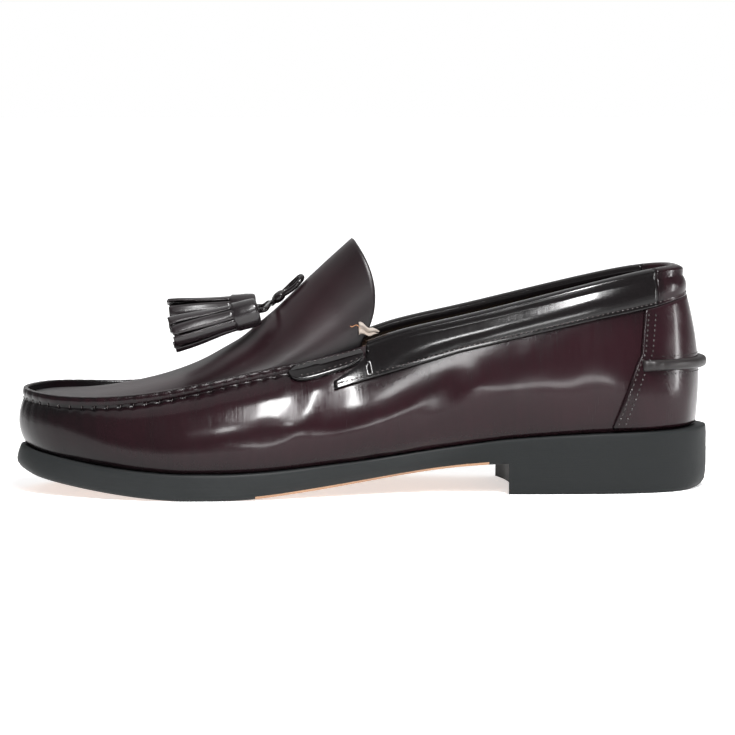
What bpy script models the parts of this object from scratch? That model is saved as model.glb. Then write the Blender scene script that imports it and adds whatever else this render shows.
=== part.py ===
"""Tassel loafer for the right foot, in metres.

+Z is up, the toe points along -X and the medial side faces -Y.
The origin is the centre of the heel's flat bottom, on the floor.
"""
import math

import bmesh
import bpy
import numpy as np
from mathutils import Vector

# Overall sizes
SOLE_LENGTH = 0.290
BALL_WIDTH = 0.104
HEEL_WIDTH = 0.067
SOLE_THICKNESS = 0.0106
HEEL_HEIGHT = 0.0162
HEEL_LENGTH = 0.086
BREAST_CURVE = 0.004
TOE_SPRING = 0.011
TOPLINE_HEIGHT = 0.0915
TONGUE_RISE = 0.0444
WELT_LEDGE = 0.004

# Leather and clearances
WALL = 0.0018
PLUG_WALL = 0.0016
OVERLAY = 0.0012
RIDGE_LIP = 0.003
GAP = 0.0003
INSOLE_THICKNESS = 0.003

# Back strap and trimmings
STRAP_HEIGHT = 0.0046
STRAP_DEPTH = 0.0034
TASSEL_LENGTH = 0.038
TASSEL_RADIUS = 0.0074
THONG_RADIUS = 0.0011
TAB_LENGTH = 0.032
TAB_WIDTH = 0.0092

# How finely the curved surfaces are cut
AROUND_STEPS = 80
RISE_STEPS = 8

ORIGIN_SHARE = 0.488

# Flat tread under the ball: where it starts and where the toe spring begins (shares of SOLE_LENGTH)
FLAT_FROM = 0.7103
SPRING_FROM = 0.7655

# Share of the upper's rise at which its lip begins
LIP_SHARE = 0.86

# Sole outline: along (share of SOLE_LENGTH from the heel's back),
# medial and lateral half widths (shares of the local width)
SOLE_OUTLINE = (
    (0.0000, 0.0000, 0.0000),
    (0.0103, 0.179, 0.179),
    (0.0276, 0.299, 0.299),
    (0.0552, 0.388, 0.388),
    (0.0931, 0.455, 0.463),
    (0.1621, 0.493, 0.500),
    (0.2310, 0.488, 0.511),
    (0.2966, 0.445, 0.507),
    (0.3621, 0.391, 0.498),
    (0.4310, 0.363, 0.493),
    (0.4966, 0.374, 0.493),
    (0.5552, 0.408, 0.497),
    (0.6207, 0.447, 0.510),
    (0.6862, 0.476, 0.519),
    (0.7448, 0.481, 0.505),
    (0.8000, 0.462, 0.471),
    (0.8483, 0.423, 0.423),
    (0.8897, 0.367, 0.364),
    (0.9241, 0.306, 0.300),
    (0.9517, 0.250, 0.242),
    (0.9759, 0.178, 0.163),
    (0.9931, 0.094, 0.071),
    (1.0000, 0.014, -0.014),
)

# Sole heights: along, arch (share of HEEL_HEIGHT), spring (share of TOE_SPRING),
# thickness (share of SOLE_THICKNESS)
SOLE_HEIGHTS = (
    (0.0000, 1.0000, 0.0000, 0.953),
    (0.0552, 0.9621, 0.0000, 0.965),
    (0.1621, 0.8887, 0.0000, 1.010),
    (0.2310, 0.8413, 0.0000, 1.000),
    (0.2966, 0.7963, 0.0000, 0.943),
    (0.3621, 0.7037, 0.0000, 0.855),
    (0.4276, 0.5617, 0.0000, 0.830),
    (0.4966, 0.3827, 0.0000, 0.850),
    (0.5552, 0.2407, 0.0000, 0.925),
    (0.6207, 0.0988, 0.0000, 0.981),
    (0.6828, 0.0123, 0.0000, 1.015),
    (0.7103, 0.0000, 0.0000, 1.019),
    (0.7655, 0.0000, 0.0000, 1.024),
    (0.8000, 0.0000, 0.0455, 1.019),
    (0.8414, 0.0000, 0.1455, 1.009),
    (0.8793, 0.0000, 0.2636, 1.000),
    (0.9138, 0.0000, 0.3909, 1.000),
    (0.9483, 0.0000, 0.5455, 1.000),
    (0.9793, 0.0000, 0.7545, 0.972),
    (1.0000, 0.0000, 1.0000, 0.925),
)

# Upper's sections: foot (share of SOLE_LENGTH), ledge (share of WELT_LEDGE), top along
# (share of SOLE_LENGTH), top across (share of the local width), top height (share of
# TOPLINE_HEIGHT), lip (share of RIDGE_LIP), low swell and rise, high swell and drop
# (swells are shares of the local width, rise and drop of the section's height)
UPPER_MEDIAL = (
    (0.000, 1.50, 0.0425, 0.0000, 1.0000, 1.00, 0.022, 0.30, 0.139, 0.50),
    (0.034, 1.25, 0.0580, 0.1716, 1.0033, 1.00, 0.045, 0.30, 0.100, 0.45),
    (0.093, 0.85, 0.1017, 0.2791, 0.9858, 1.00, 0.082, 0.30, 0.090, 0.40),
    (0.162, 0.75, 0.1603, 0.3433, 0.9475, 1.00, 0.090, 0.30, 0.112, 0.42),
    (0.259, 0.55, 0.2621, 0.3770, 0.8699, 1.00, 0.102, 0.28, 0.123, 0.45),
    (0.362, 0.45, 0.3724, 0.3406, 0.7869, 1.00, 0.126, 0.22, 0.120, 0.45),
    (0.448, 0.42, 0.4586, 0.2950, 0.7224, 1.00, 0.127, 0.20, 0.110, 0.42),
    (0.514, 0.53, 0.5138, 0.2671, 0.6623, 1.00, 0.097, 0.24, 0.117, 0.35),
    (0.593, 0.70, 0.5862, 0.2684, 0.6055, 1.00, 0.058, 0.28, 0.135, 0.25),
    (0.686, 0.85, 0.6828, 0.2933, 0.5454, 1.13, 0.043, 0.30, 0.139, 0.15),
    (0.759, 0.88, 0.7621, 0.3077, 0.4929, 1.33, 0.038, 0.31, 0.125, 0.12),
    (0.828, 0.88, 0.8328, 0.3077, 0.4612, 1.53, 0.038, 0.33, 0.091, 0.15),
    (0.890, 0.88, 0.8948, 0.2885, 0.4503, 1.60, 0.038, 0.35, 0.058, 0.20),
    (0.938, 0.88, 0.9431, 0.2308, 0.4530, 1.60, 0.038, 0.37, 0.038, 0.25),
    (0.976, 0.90, 0.9741, 0.1346, 0.4610, 1.60, 0.038, 0.37, 0.029, 0.30),
    (1.000, 0.95, 0.9897, 0.0144, 0.4700, 1.60, 0.038, 0.37, 0.024, 0.30),
)
UPPER_LATERAL = (
    (0.034, 1.25, 0.0580, 0.1716, 1.0033, 1.00, 0.045, 0.30, 0.100, 0.45),
    (0.093, 0.85, 0.1017, 0.2791, 0.9858, 1.00, 0.082, 0.30, 0.090, 0.40),
    (0.162, 0.75, 0.1603, 0.3433, 0.9475, 1.00, 0.090, 0.30, 0.112, 0.42),
    (0.259, 0.60, 0.2621, 0.3843, 0.8699, 1.00, 0.087, 0.28, 0.123, 0.45),
    (0.362, 0.55, 0.3724, 0.3532, 0.7869, 1.00, 0.069, 0.26, 0.126, 0.45),
    (0.448, 0.57, 0.4586, 0.3094, 0.7224, 1.00, 0.055, 0.26, 0.133, 0.42),
    (0.514, 0.65, 0.5138, 0.2803, 0.6623, 1.00, 0.051, 0.27, 0.143, 0.35),
    (0.593, 0.75, 0.5862, 0.2800, 0.6055, 1.00, 0.043, 0.28, 0.159, 0.25),
    (0.686, 0.85, 0.6828, 0.3077, 0.5454, 1.13, 0.038, 0.30, 0.163, 0.15),
    (0.759, 0.88, 0.7621, 0.3173, 0.4929, 1.33, 0.038, 0.31, 0.135, 0.12),
    (0.828, 0.88, 0.8328, 0.3125, 0.4650, 1.53, 0.038, 0.33, 0.096, 0.15),
    (0.890, 0.88, 0.8948, 0.2837, 0.4680, 1.60, 0.038, 0.35, 0.058, 0.20),
    (0.938, 0.88, 0.9431, 0.2212, 0.4750, 1.60, 0.038, 0.37, 0.038, 0.25),
    (0.976, 0.90, 0.9741, 0.1183, 0.4760, 1.60, 0.038, 0.37, 0.029, 0.30),
)

# Plug and tongue rows: edge along and crest along (shares of SOLE_LENGTH), rise of the
# crest over the edge (share of TONGUE_RISE), depth of the edge under the ridge (share of
# RIDGE_LIP), inset from the ridge (share of WALL), squareness, backward bow (share of
# TONGUE_RISE)
PLUG_ROWS = (
    (0.9800, 0.9760, 0.008, 0.90, 1.0, 1.00, 0.00),
    (0.9700, 0.9620, 0.022, 0.92, 1.0, 1.00, 0.00),
    (0.9483, 0.9380, 0.040, 0.95, 1.0, 1.00, 0.00),
    (0.9138, 0.9034, 0.058, 0.95, 1.0, 1.00, 0.00),
    (0.8690, 0.8586, 0.096, 0.90, 1.0, 1.05, 0.00),
    (0.8207, 0.8069, 0.142, 0.80, 1.0, 1.15, 0.00),
    (0.7379, 0.7345, 0.207, 0.70, 1.0, 1.35, 0.00),
    (0.6828, 0.6931, 0.270, 0.62, 1.0, 1.50, 0.01),
    (0.6345, 0.6552, 0.384, 0.55, 1.0, 1.65, 0.02),
    (0.5862, 0.6069, 0.594, 0.45, 1.2, 1.90, 0.06),
    (0.5448, 0.5621, 0.803, 0.35, 1.7, 2.15, 0.12),
    (0.5103, 0.5160, 1.000, 0.20, 2.3, 2.35, 0.17),
)

# Collar's lower stitched line: along (share of SOLE_LENGTH), height (share of
# TOPLINE_HEIGHT)
COLLAR_LINE = (
    (0.034, 0.884),
    (0.084, 0.840),
    (0.163, 0.793),
    (0.231, 0.746),
    (0.300, 0.697),
    (0.367, 0.648),
    (0.430, 0.590),
    (0.497, 0.529),
    (0.550, 0.481),
)
COLLAR_JOINT = 0.084
COLLAR_HOOK_END = 0.499
COLLAR_FRONT = 0.547
# Collar's front edge under the tab: along and height, shares as above
COLLAR_SHOULDER = (
    (0.499, 0.618),
    (0.520, 0.563),
    (0.547, 0.515),
)
# Back stay's front edge: along and height, shares as above
STAY_EDGE = (
    (0.148, 0.300),
    (0.131, 0.444),
    (0.114, 0.588),
    (0.107, 0.632),
    (0.100, 0.830),
)
STRAP_LEVEL = 0.577
STRAP_END = 0.100
# Side tab's centre: along and height of its back and front ends, shares as above
TAB_BACK = (0.508, 0.640)
TAB_FRONT = (0.606, 0.552)

# Tassels: side, start (X, Y, Z shares of SOLE_LENGTH, BALL_WIDTH, TOPLINE_HEIGHT), slope
# in degrees, yaw in degrees
TASSELS = (
    ("medial", -0.507, -0.150, 0.826, 15.0, 2.0),
    ("lateral", -0.507, 0.125, 0.821, 6.0, -3.0),
)
# Knot on the tongue: along (share of SOLE_LENGTH) and half sizes (shares of THONG_RADIUS)
# along the slope, across and away from the leather
KNOT_ALONG = 0.615
KNOT_HALVES = (3.2, 3.6, 2.0)
# Bow's loop past the knot: length (share of SOLE_LENGTH), half width and tilt (shares of
# THONG_RADIUS)
LOOP_LENGTH = 0.032
LOOP_WIDTH = 3.0
LOOP_TILT = 1.1

# Tassel's profile: distance from its start (share of TASSEL_LENGTH), radius (share of
# TASSEL_RADIUS), depth of the strips' grooves
TASSEL_PROFILE = (
    (0.000, 0.55, 0.00),
    (0.012, 0.74, 0.00),
    (0.040, 0.80, 0.00),
    (0.110, 0.82, 0.00),
    (0.190, 0.82, 0.00),
    (0.268, 0.82, 0.00),
    (0.284, 0.74, 0.00),
    (0.320, 0.72, 0.04),
    (0.400, 0.73, 0.10),
    (0.560, 0.77, 0.14),
    (0.780, 0.82, 0.18),
    (1.000, 0.88, 0.22),
)
TASSEL_STRIPS = 8


def smooth(value):
    value = np.clip(value, 0.0, 1.0)
    return value * value * (3 - 2 * value)


def spline(knots, values):
    """Natural cubic curve through the rows of values."""
    knots = np.asarray(knots, float)
    values = np.asarray(values, float)
    if values.ndim == 1:
        values = values[:, None]
    step = np.diff(knots)
    count = len(knots)
    matrix = np.eye(count)
    target = np.zeros_like(values)
    for i in range(1, count - 1):
        matrix[i, i - 1] = step[i - 1]
        matrix[i, i] = 2 * (step[i - 1] + step[i])
        matrix[i, i + 1] = step[i]
        target[i] = 6 * ((values[i + 1] - values[i]) / step[i] - (values[i] - values[i - 1]) / step[i - 1])
    bend = np.linalg.solve(matrix, target)

    def at(where):
        where = np.asarray(where, float)
        i = np.clip(np.searchsorted(knots, where) - 1, 0, count - 2)
        size = step[i][..., None]
        low = (knots[i + 1] - where)[..., None] / size
        high = (where - knots[i])[..., None] / size
        curve = low * values[i] + high * values[i + 1]
        return curve + ((low ** 3 - low) * bend[i] + (high ** 3 - high) * bend[i + 1]) * size * size / 6

    return at


def closed_spline(knots, values):
    """The same round a loop whose parameter runs from 0 to 1."""
    knots = np.asarray(knots, float)
    values = np.asarray(values, float)
    longer = np.concatenate([knots[-5:] - 1, knots, knots[:5] + 1])
    at = spline(longer, np.concatenate([values[-5:], values, values[:5]]))
    return lambda where: at(np.mod(where, 1.0))


def local_width(along):
    return HEEL_WIDTH + (BALL_WIDTH - HEEL_WIDTH) * smooth((along - 0.2) / 0.42)


def forward(along):
    return ORIGIN_SHARE * HEEL_LENGTH - along * SOLE_LENGTH


def along_of(x):
    return (ORIGIN_SHARE * HEEL_LENGTH - x) / SOLE_LENGTH


def outline_curve():
    points = []
    for along, medial, lateral in SOLE_OUTLINE:
        points.append((forward(along), -medial * local_width(along)))
    for along, medial, lateral in reversed(SOLE_OUTLINE[1:-1]):
        points.append((forward(along), lateral * local_width(along)))
    points = np.array(points)
    reach = np.linalg.norm(np.diff(np.vstack([points, points[:1]]), axis=0), axis=1)
    knots = np.concatenate([[0.0], np.cumsum(reach)[:-1]]) / reach.sum()
    return closed_spline(knots, points), knots[len(SOLE_OUTLINE) - 1]


outline_at, TIP = outline_curve()
DENSE = np.linspace(0, 1, 4001)
DENSE_ALONG = along_of(outline_at(DENSE)[:, 0])


def perimeter_at(side, along):
    """Perimeter share of the outline point at a distance along one side."""
    if side == "medial":
        chosen = DENSE <= TIP
        return np.interp(along, DENSE_ALONG[chosen], DENSE[chosen])
    chosen = DENSE >= TIP
    return np.interp(along, DENSE_ALONG[chosen][::-1], DENSE[chosen][::-1])


def outline_normal(p):
    ahead = outline_at(p + 0.0005)
    behind = outline_at(p - 0.0005)
    run = ahead - behind
    normal = np.stack([-run[..., 1], run[..., 0]], axis=-1)
    return normal / np.linalg.norm(normal, axis=-1, keepdims=True)


heights_at = spline([row[0] for row in SOLE_HEIGHTS], [row[1:] for row in SOLE_HEIGHTS])
BREAST = HEEL_LENGTH / SOLE_LENGTH


def sole_bottom(along):
    along = np.clip(along, 0.0, 1.0)
    arch, spring = heights_at(along)[..., 0], heights_at(along)[..., 1]
    breast = float(heights_at(BREAST)[..., 0])
    seat = 1.0 + (breast - 1.0) * along / BREAST
    arch = np.where(along < BREAST, seat, np.clip(arch, 0.0, 1.0))
    arch = np.where(along > FLAT_FROM, 0.0, arch)
    spring = np.where(along < SPRING_FROM, 0.0, np.clip(spring, 0.0, 1.2))
    return arch * HEEL_HEIGHT + spring * TOE_SPRING


def sole_top(along):
    along = np.clip(along, 0.0, 1.0)
    return sole_bottom(along) + heights_at(along)[..., 2] * SOLE_THICKNESS


def upper_sections():
    knots = []
    rows = []
    for side, table, sign in (("medial", UPPER_MEDIAL, -1.0), ("lateral", UPPER_LATERAL[::-1], 1.0)):
        for foot, ledge, along, across, height, lip, low, rise, high, drop in table:
            width = local_width(foot)
            knots.append(float(perimeter_at(side, foot)))
            rows.append((
                ledge * WELT_LEDGE, forward(along), sign * across * width, height * TOPLINE_HEIGHT,
                lip * RIDGE_LIP, low * width, rise, high * width, drop,
            ))
    knots[0] = 0.0
    knots[len(UPPER_MEDIAL) - 1] = TIP
    return closed_spline(knots, rows)


sections_at = upper_sections()


def ledge_point(p, inset):
    return outline_at(p) + outline_normal(p) * -np.asarray(inset)[..., None]


def wall_point(p, v):
    """Outer surface of the upper: p runs round the foot, v from the feather to the top edge."""
    p, v = np.broadcast_arrays(np.asarray(p, float), np.asarray(v, float))
    row = sections_at(p)
    normal = outline_normal(p)
    foot = ledge_point(p, row[..., 0])
    foot_z = sole_top(along_of(foot[..., 0])) + GAP
    top = row[..., 1:3]
    base_z = row[..., 3] - row[..., 4]
    height = base_z - foot_z
    share = np.clip(v / LIP_SHARE, 0, 1)[..., None]
    handles = (
        np.concatenate([foot, foot_z[..., None]], axis=-1),
        np.concatenate([foot + normal * row[..., 5:6], (foot_z + height * row[..., 6])[..., None]], axis=-1),
        np.concatenate([top + normal * row[..., 7:8], (base_z - height * row[..., 8])[..., None]], axis=-1),
        np.concatenate([top, base_z[..., None]], axis=-1),
    )
    point = handles[0] * (1 - share) ** 3 + handles[1] * 3 * (1 - share) ** 2 * share
    point = point + handles[2] * 3 * (1 - share) * share ** 2 + handles[3] * share ** 3
    point[..., 2] += np.clip((v - LIP_SHARE) / (1 - LIP_SHARE), 0, 1) * row[..., 4]
    return point


def wall_normal(p, v):
    p, v = np.broadcast_arrays(np.asarray(p, float), np.asarray(v, float))
    along = wall_point(p + 0.0008, v) - wall_point(p - 0.0008, v)
    rise = wall_point(p, np.clip(v + 0.01, 0, 1)) - wall_point(p, np.clip(v - 0.01, 0, 1))
    normal = np.cross(rise, along)
    return normal / np.linalg.norm(normal, axis=-1, keepdims=True)


def over_wall(p, v, offset):
    """Point at an offset outside the upper's outer surface."""
    return wall_point(p, v) + wall_normal(p, v) * np.asarray(offset)[..., None]


def top_normal(p):
    run = (sections_at(p + 0.002) - sections_at(p - 0.002))[..., 1:3]
    normal = np.stack([run[..., 1], -run[..., 0]], axis=-1)
    normal = normal / np.linalg.norm(normal, axis=-1, keepdims=True)
    return np.concatenate([-normal, np.zeros(normal.shape[:-1] + (1,))], axis=-1)


def solve_height(p, line):
    """v at which the wall at p crosses a line of heights over the distance along."""
    p = np.asarray(p, float)
    low, high = np.zeros(p.shape), np.ones(p.shape)
    for _ in range(22):
        middle = (low + high) / 2
        point = wall_point(p, middle)
        under = point[..., 2] < line(along_of(point[..., 0]))
        low = np.where(under, middle, low)
        high = np.where(under, high, middle)
    return (low + high) / 2


def find_on_wall(side, along, height):
    """p and v of the wall's points at distances along and heights on one side."""
    along, height = np.broadcast_arrays(np.asarray(along, float), np.asarray(height, float))
    p = perimeter_at(side, along)
    v = np.full(p.shape, 0.6)
    for _ in range(16):
        here = wall_point(p, v)
        by_p = (wall_point(p + 0.0005, v) - here) / 0.0005
        by_v = (here - wall_point(p, v - 0.004)) / 0.004
        miss_along = (along_of(here[..., 0]) - along) * -SOLE_LENGTH
        miss_height = here[..., 2] - height
        size = by_p[..., 0] * by_v[..., 2] - by_v[..., 0] * by_p[..., 2]
        step_p = (miss_along * by_v[..., 2] - miss_height * by_v[..., 0]) / size
        step_v = (miss_height * by_p[..., 0] - miss_along * by_p[..., 2]) / size
        p = p - np.clip(step_p, -0.02, 0.02)
        v = np.clip(v - np.clip(step_v, -0.2, 0.2), 0.01, 1.0)
    return p, v


def line_of(table):
    table = sorted(table)
    xs = [row[0] for row in table]
    ys = [row[1] for row in table]
    return lambda along: np.interp(along, xs, ys) * TOPLINE_HEIGHT


MATERIALS = {}


def material(name, colour, roughness, metallic=0.0):
    if name not in MATERIALS:
        made = bpy.data.materials.new(name)
        made.use_nodes = True
        shader = made.node_tree.nodes["Principled BSDF"]
        shader.inputs["Base Color"].default_value = (*colour, 1.0)
        shader.inputs["Roughness"].default_value = roughness
        shader.inputs["Metallic"].default_value = metallic
        MATERIALS[name] = made
    return MATERIALS[name]


BURGUNDY = ("burgundy_leather", (0.075, 0.014, 0.022), 0.3)
DARK = ("dark_leather", (0.018, 0.008, 0.010), 0.35)
SLATE = ("edge_slate", (0.045, 0.055, 0.055), 0.6)
TAN = ("insole_leather", (0.42, 0.28, 0.17), 0.6)


def finish(name, mesh, look):
    bmesh.ops.remove_doubles(mesh, verts=mesh.verts, dist=0.000002)
    bmesh.ops.dissolve_degenerate(mesh, edges=mesh.edges, dist=0.000002)
    bmesh.ops.recalc_face_normals(mesh, faces=mesh.faces)
    if mesh.calc_volume(signed=True) < 0:
        bmesh.ops.reverse_faces(mesh, faces=mesh.faces)
    data = bpy.data.meshes.new(name)
    mesh.to_mesh(data)
    mesh.free()
    data.polygons.foreach_set("use_smooth", [True] * len(data.polygons))
    data.materials.append(material(*look))
    thing = bpy.data.objects.new(name, data)
    bpy.context.collection.objects.link(thing)
    return thing


def slab(name, outer, inner, look, around=False):
    """Solid between two grids of points, closed round its edges."""
    mesh = bmesh.new()
    rows, columns = outer.shape[:2]
    layers = []
    for grid in (outer, inner):
        layers.append([[mesh.verts.new(Vector(point)) for point in row] for row in grid])
    last = rows if around else rows - 1
    for i in range(last):
        k = (i + 1) % rows
        for j in range(columns - 1):
            mesh.faces.new((layers[0][i][j], layers[0][k][j], layers[0][k][j + 1], layers[0][i][j + 1]))
            mesh.faces.new((layers[1][i][j + 1], layers[1][k][j + 1], layers[1][k][j], layers[1][i][j]))
        for j in (0, columns - 1):
            mesh.faces.new((layers[0][i][j], layers[1][i][j], layers[1][k][j], layers[0][k][j]))
    if not around:
        for i in (0, rows - 1):
            for j in range(columns - 1):
                mesh.faces.new((layers[0][i][j], layers[0][i][j + 1], layers[1][i][j + 1], layers[1][i][j]))
    return finish(name, mesh, look)


def loft(mesh, rings):
    """Tube through rings of points with both ends capped."""
    made = [[mesh.verts.new(Vector(point)) for point in ring] for ring in rings]
    count = len(made[0])
    for before, after in zip(made, made[1:]):
        for j in range(count):
            k = (j + 1) % count
            mesh.faces.new((before[j], before[k], after[k], after[j]))
    mesh.faces.new(made[0][::-1])
    mesh.faces.new(made[-1])


def plate(name, levels, look, start=0.0, end=1.0, steps=62):
    """Solid on the sole's outline: each level has an inset and a height over the outline."""
    share = (1 - np.cos(np.linspace(0, math.pi, steps + 1))) / 2
    share = 0.55 * share + 0.45 * np.linspace(0, 1, steps + 1)
    alongs = start + (end - start) * share
    alongs = np.sort(np.concatenate([alongs, [0.004, 0.012, 0.988, 0.996]]))
    medial = perimeter_at("medial", alongs)
    lateral = perimeter_at("lateral", alongs)
    medial[0] = 0.0
    medial[-1] = TIP
    mesh = bmesh.new()
    rings = []
    count = len(alongs)
    for inset, height in levels:
        sides = []
        for p in (medial, lateral):
            plan = ledge_point(p, inset(p))
            z = height(along_of(plan[:, 0]))
            sides.append([mesh.verts.new((x, y, h)) for (x, y), h in zip(plan, z)])
        rings.append((sides[0], [sides[0][0]] + sides[1][1:-1] + [sides[0][-1]]))
        mesh.verts.remove(sides[1][0])
        mesh.verts.remove(sides[1][-1])
    for above, below in zip(rings, rings[1:]):
        for side in (0, 1):
            for i in range(count - 1):
                mesh.faces.new((above[side][i], above[side][i + 1], below[side][i + 1], below[side][i]))
    for medial_row, lateral_row in (rings[0], rings[-1]):
        for i in range(count - 1):
            corners = [medial_row[i], medial_row[i + 1], lateral_row[i + 1], lateral_row[i]]
            mesh.faces.new(list(dict.fromkeys(corners)))
    return finish(name, mesh, look)


def toe_share(p):
    return smooth((along_of(outline_at(p)[..., 0]) - 0.86) / 0.14)


def build_outsole():
    def waist(p):
        along = along_of(outline_at(p)[..., 0])
        return smooth((along - 0.30) / 0.10) * smooth((0.62 - along) / 0.10)

    def lower_inset(p):
        forepart = smooth((along_of(outline_at(p)[..., 0]) - 0.55) / 0.1)
        return 0.0002 + 0.0024 * waist(p) + 0.0008 * forepart

    plate("outsole", (
        (lambda p: 0.0009 + 0.0018 * toe_share(p), sole_top),
        (lambda p: 0.0002 + 0.0010 * toe_share(p), lambda a: sole_top(a) - 0.0012),
        (lambda p: 0.0 * p, lambda a: sole_bottom(a) * 0.72 + sole_top(a) * 0.28),
        (lower_inset, sole_bottom),
    ), SLATE)


def build_heel():
    """Stacked heel with a hollowed breast."""
    alongs = BREAST * (1 - np.cos(np.linspace(0, math.pi / 2, 17)))
    medial = perimeter_at("medial", alongs)
    lateral = perimeter_at("lateral", alongs)
    medial[0] = 0.0
    loop = np.concatenate([medial[::-1], lateral[1:]])
    levels = ((0.0000, 0.0010, 0.0036), (0.0035, 0.0004, 0.0009), (None, 0.0, 0.0))
    rings = []
    for height, inset, back in levels:
        at_back = smooth(1 - along_of(outline_at(loop)[:, 0]) / 0.06)
        plan = ledge_point(loop, inset + (back - inset) * at_back)
        start, end = plan[-1], plan[0]
        bow = []
        for share in np.linspace(0, 1, 12)[1:-1]:
            point = start + (end - start) * share
            bow.append((point[0] + BREAST_CURVE * (1 - (2 * share - 1) ** 2), point[1]))
        plan = np.vstack([plan, bow])
        along = np.clip(along_of(plan[:, 0]), 0, BREAST - 1e-6)
        z = np.full(len(plan), height) if height is not None else sole_bottom(along) - GAP
        rings.append(np.column_stack([plan, z]))
    mesh = bmesh.new()
    loft(mesh, rings)
    return finish("heel", mesh, SLATE)


def build_insole():
    def inset(p):
        return sections_at(p)[..., 0] + WALL + 0.0009

    plate("insole", (
        (inset, lambda a: sole_top(a) + GAP + INSOLE_THICKNESS),
        (inset, lambda a: sole_top(a) + GAP),
    ), TAN, steps=36)


def around_shares():
    """Perimeter shares packed closer where the outline turns."""
    run = np.diff(outline_at(DENSE), axis=0)
    turn = np.abs(np.diff(np.unwrap(np.arctan2(run[:, 1], run[:, 0])), append=0))
    turn[-1] = 0
    weight = np.linalg.norm(run, axis=1) / 0.0105 + turn / 0.16
    total = np.concatenate([[0], np.cumsum(weight)])
    return np.interp(np.linspace(0, total[-1], AROUND_STEPS + 1)[:-1], total, DENSE)


AROUND = around_shares()


def rise_shares():
    low = np.linspace(0, LIP_SHARE, RISE_STEPS)
    return np.concatenate([low, [1.0]])


def build_upper():
    p, v = np.meshgrid(AROUND, rise_shares(), indexing="ij")
    outer = wall_point(p, v)
    inner = over_wall(p, v, np.full(p.shape, -WALL))
    foot = ledge_point(AROUND, sections_at(AROUND)[:, 0] + WALL)
    inner[:, 0, :2] = foot
    inner[:, 0, 2] = sole_top(along_of(foot[:, 0])) + GAP
    inner[:, -1, 2] = outer[:, -1, 2]
    return slab("upper", outer, inner, BURGUNDY, around=True)


def ridge_at(side, along):
    """Perimeter share where the wall's top edge is at a distance along one side."""
    shares = DENSE[DENSE <= TIP] if side == "medial" else DENSE[DENSE >= TIP]
    tops = along_of(sections_at(shares)[:, 1])
    order = np.argsort(tops)
    return float(np.interp(along, tops[order], shares[order]))


def plug_edge(side, along, depth, inset):
    p = ridge_at(side, along)
    point = wall_point(p, 1.0) - top_normal(p) * (WALL + GAP + (inset - 1.0) * WALL)
    point[2] -= depth * RIDGE_LIP
    return point


def plug_rows():
    """Splines over the rows: edge points, crest and shape."""
    rows = []
    knots = []
    tip = plug_edge("medial", 0.9885, 0.9, 1.0)
    rows.append((*tip, *tip, tip[0], 0.0, 1.0, 0.0))
    knots.append(0.0)
    reach = 0.0
    before = tip
    for edge, crest, rise, depth, inset, square, bow in PLUG_ROWS:
        medial = plug_edge("medial", edge, depth, inset)
        lateral = plug_edge("lateral", edge, depth, inset)
        reach += max(float(np.linalg.norm(medial - before)), 0.001)
        before = medial
        knots.append(reach)
        rows.append((*medial, *lateral, forward(crest), rise * TONGUE_RISE, square, bow * TONGUE_RISE))
    knots = np.array(knots) / reach
    return spline(knots, rows)


rows_at = plug_rows()


def plug_point(u, turn):
    """Outer surface of the plug: u from the toe to the tongue's end, turn from -90 to 90 degrees."""
    u, turn = np.broadcast_arrays(np.asarray(u, float), np.asarray(turn, float))
    row = rows_at(u)
    across = np.sin(turn)
    square = row[..., 8]
    shape = np.power(np.clip(1 - np.abs(across) ** (1.2 + 0.55 * square), 0, 1), 1 / square)
    middle = (row[..., 0:3] + row[..., 3:6]) / 2
    half = (row[..., 3:6] - row[..., 0:3]) / 2
    point = middle + half * across[..., None]
    point[..., 0] = middle[..., 0] + (row[..., 6] - middle[..., 0]) * shape + half[..., 0] * across
    point[..., 0] += row[..., 9] * 4 * shape * (1 - shape)
    point[..., 2] += row[..., 7] * shape
    return point


def plug_normal(u, turn):
    u, turn = np.broadcast_arrays(np.asarray(u, float), np.asarray(turn, float))
    limit = math.pi / 2
    along = plug_point(np.clip(u + 0.004, 0, 1), turn) - plug_point(np.clip(u - 0.004, 0, 1), turn)
    right = plug_point(u, np.clip(turn + 0.03, -limit, limit))
    left = plug_point(u, np.clip(turn - 0.03, -limit, limit))
    normal = np.cross(right - left, along)
    return normal / np.maximum(np.linalg.norm(normal, axis=-1, keepdims=True), 1e-12)


def build_plug():
    u = np.concatenate([[0, 0.012, 0.035], np.linspace(0.075, 1, 24)])
    turns = np.radians(np.linspace(-90, 90, 19))
    uu, tt = np.meshgrid(u, turns, indexing="ij")
    outer = plug_point(uu, tt)
    inward = plug_normal(uu, tt)
    inward[inward[..., 2] > 0] *= -1
    inward[:, (0, -1)] = (0, 0, -1)
    inward[0] = (0, 0, -1)
    return slab("plug", outer, outer + inward * PLUG_WALL, BURGUNDY)


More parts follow.
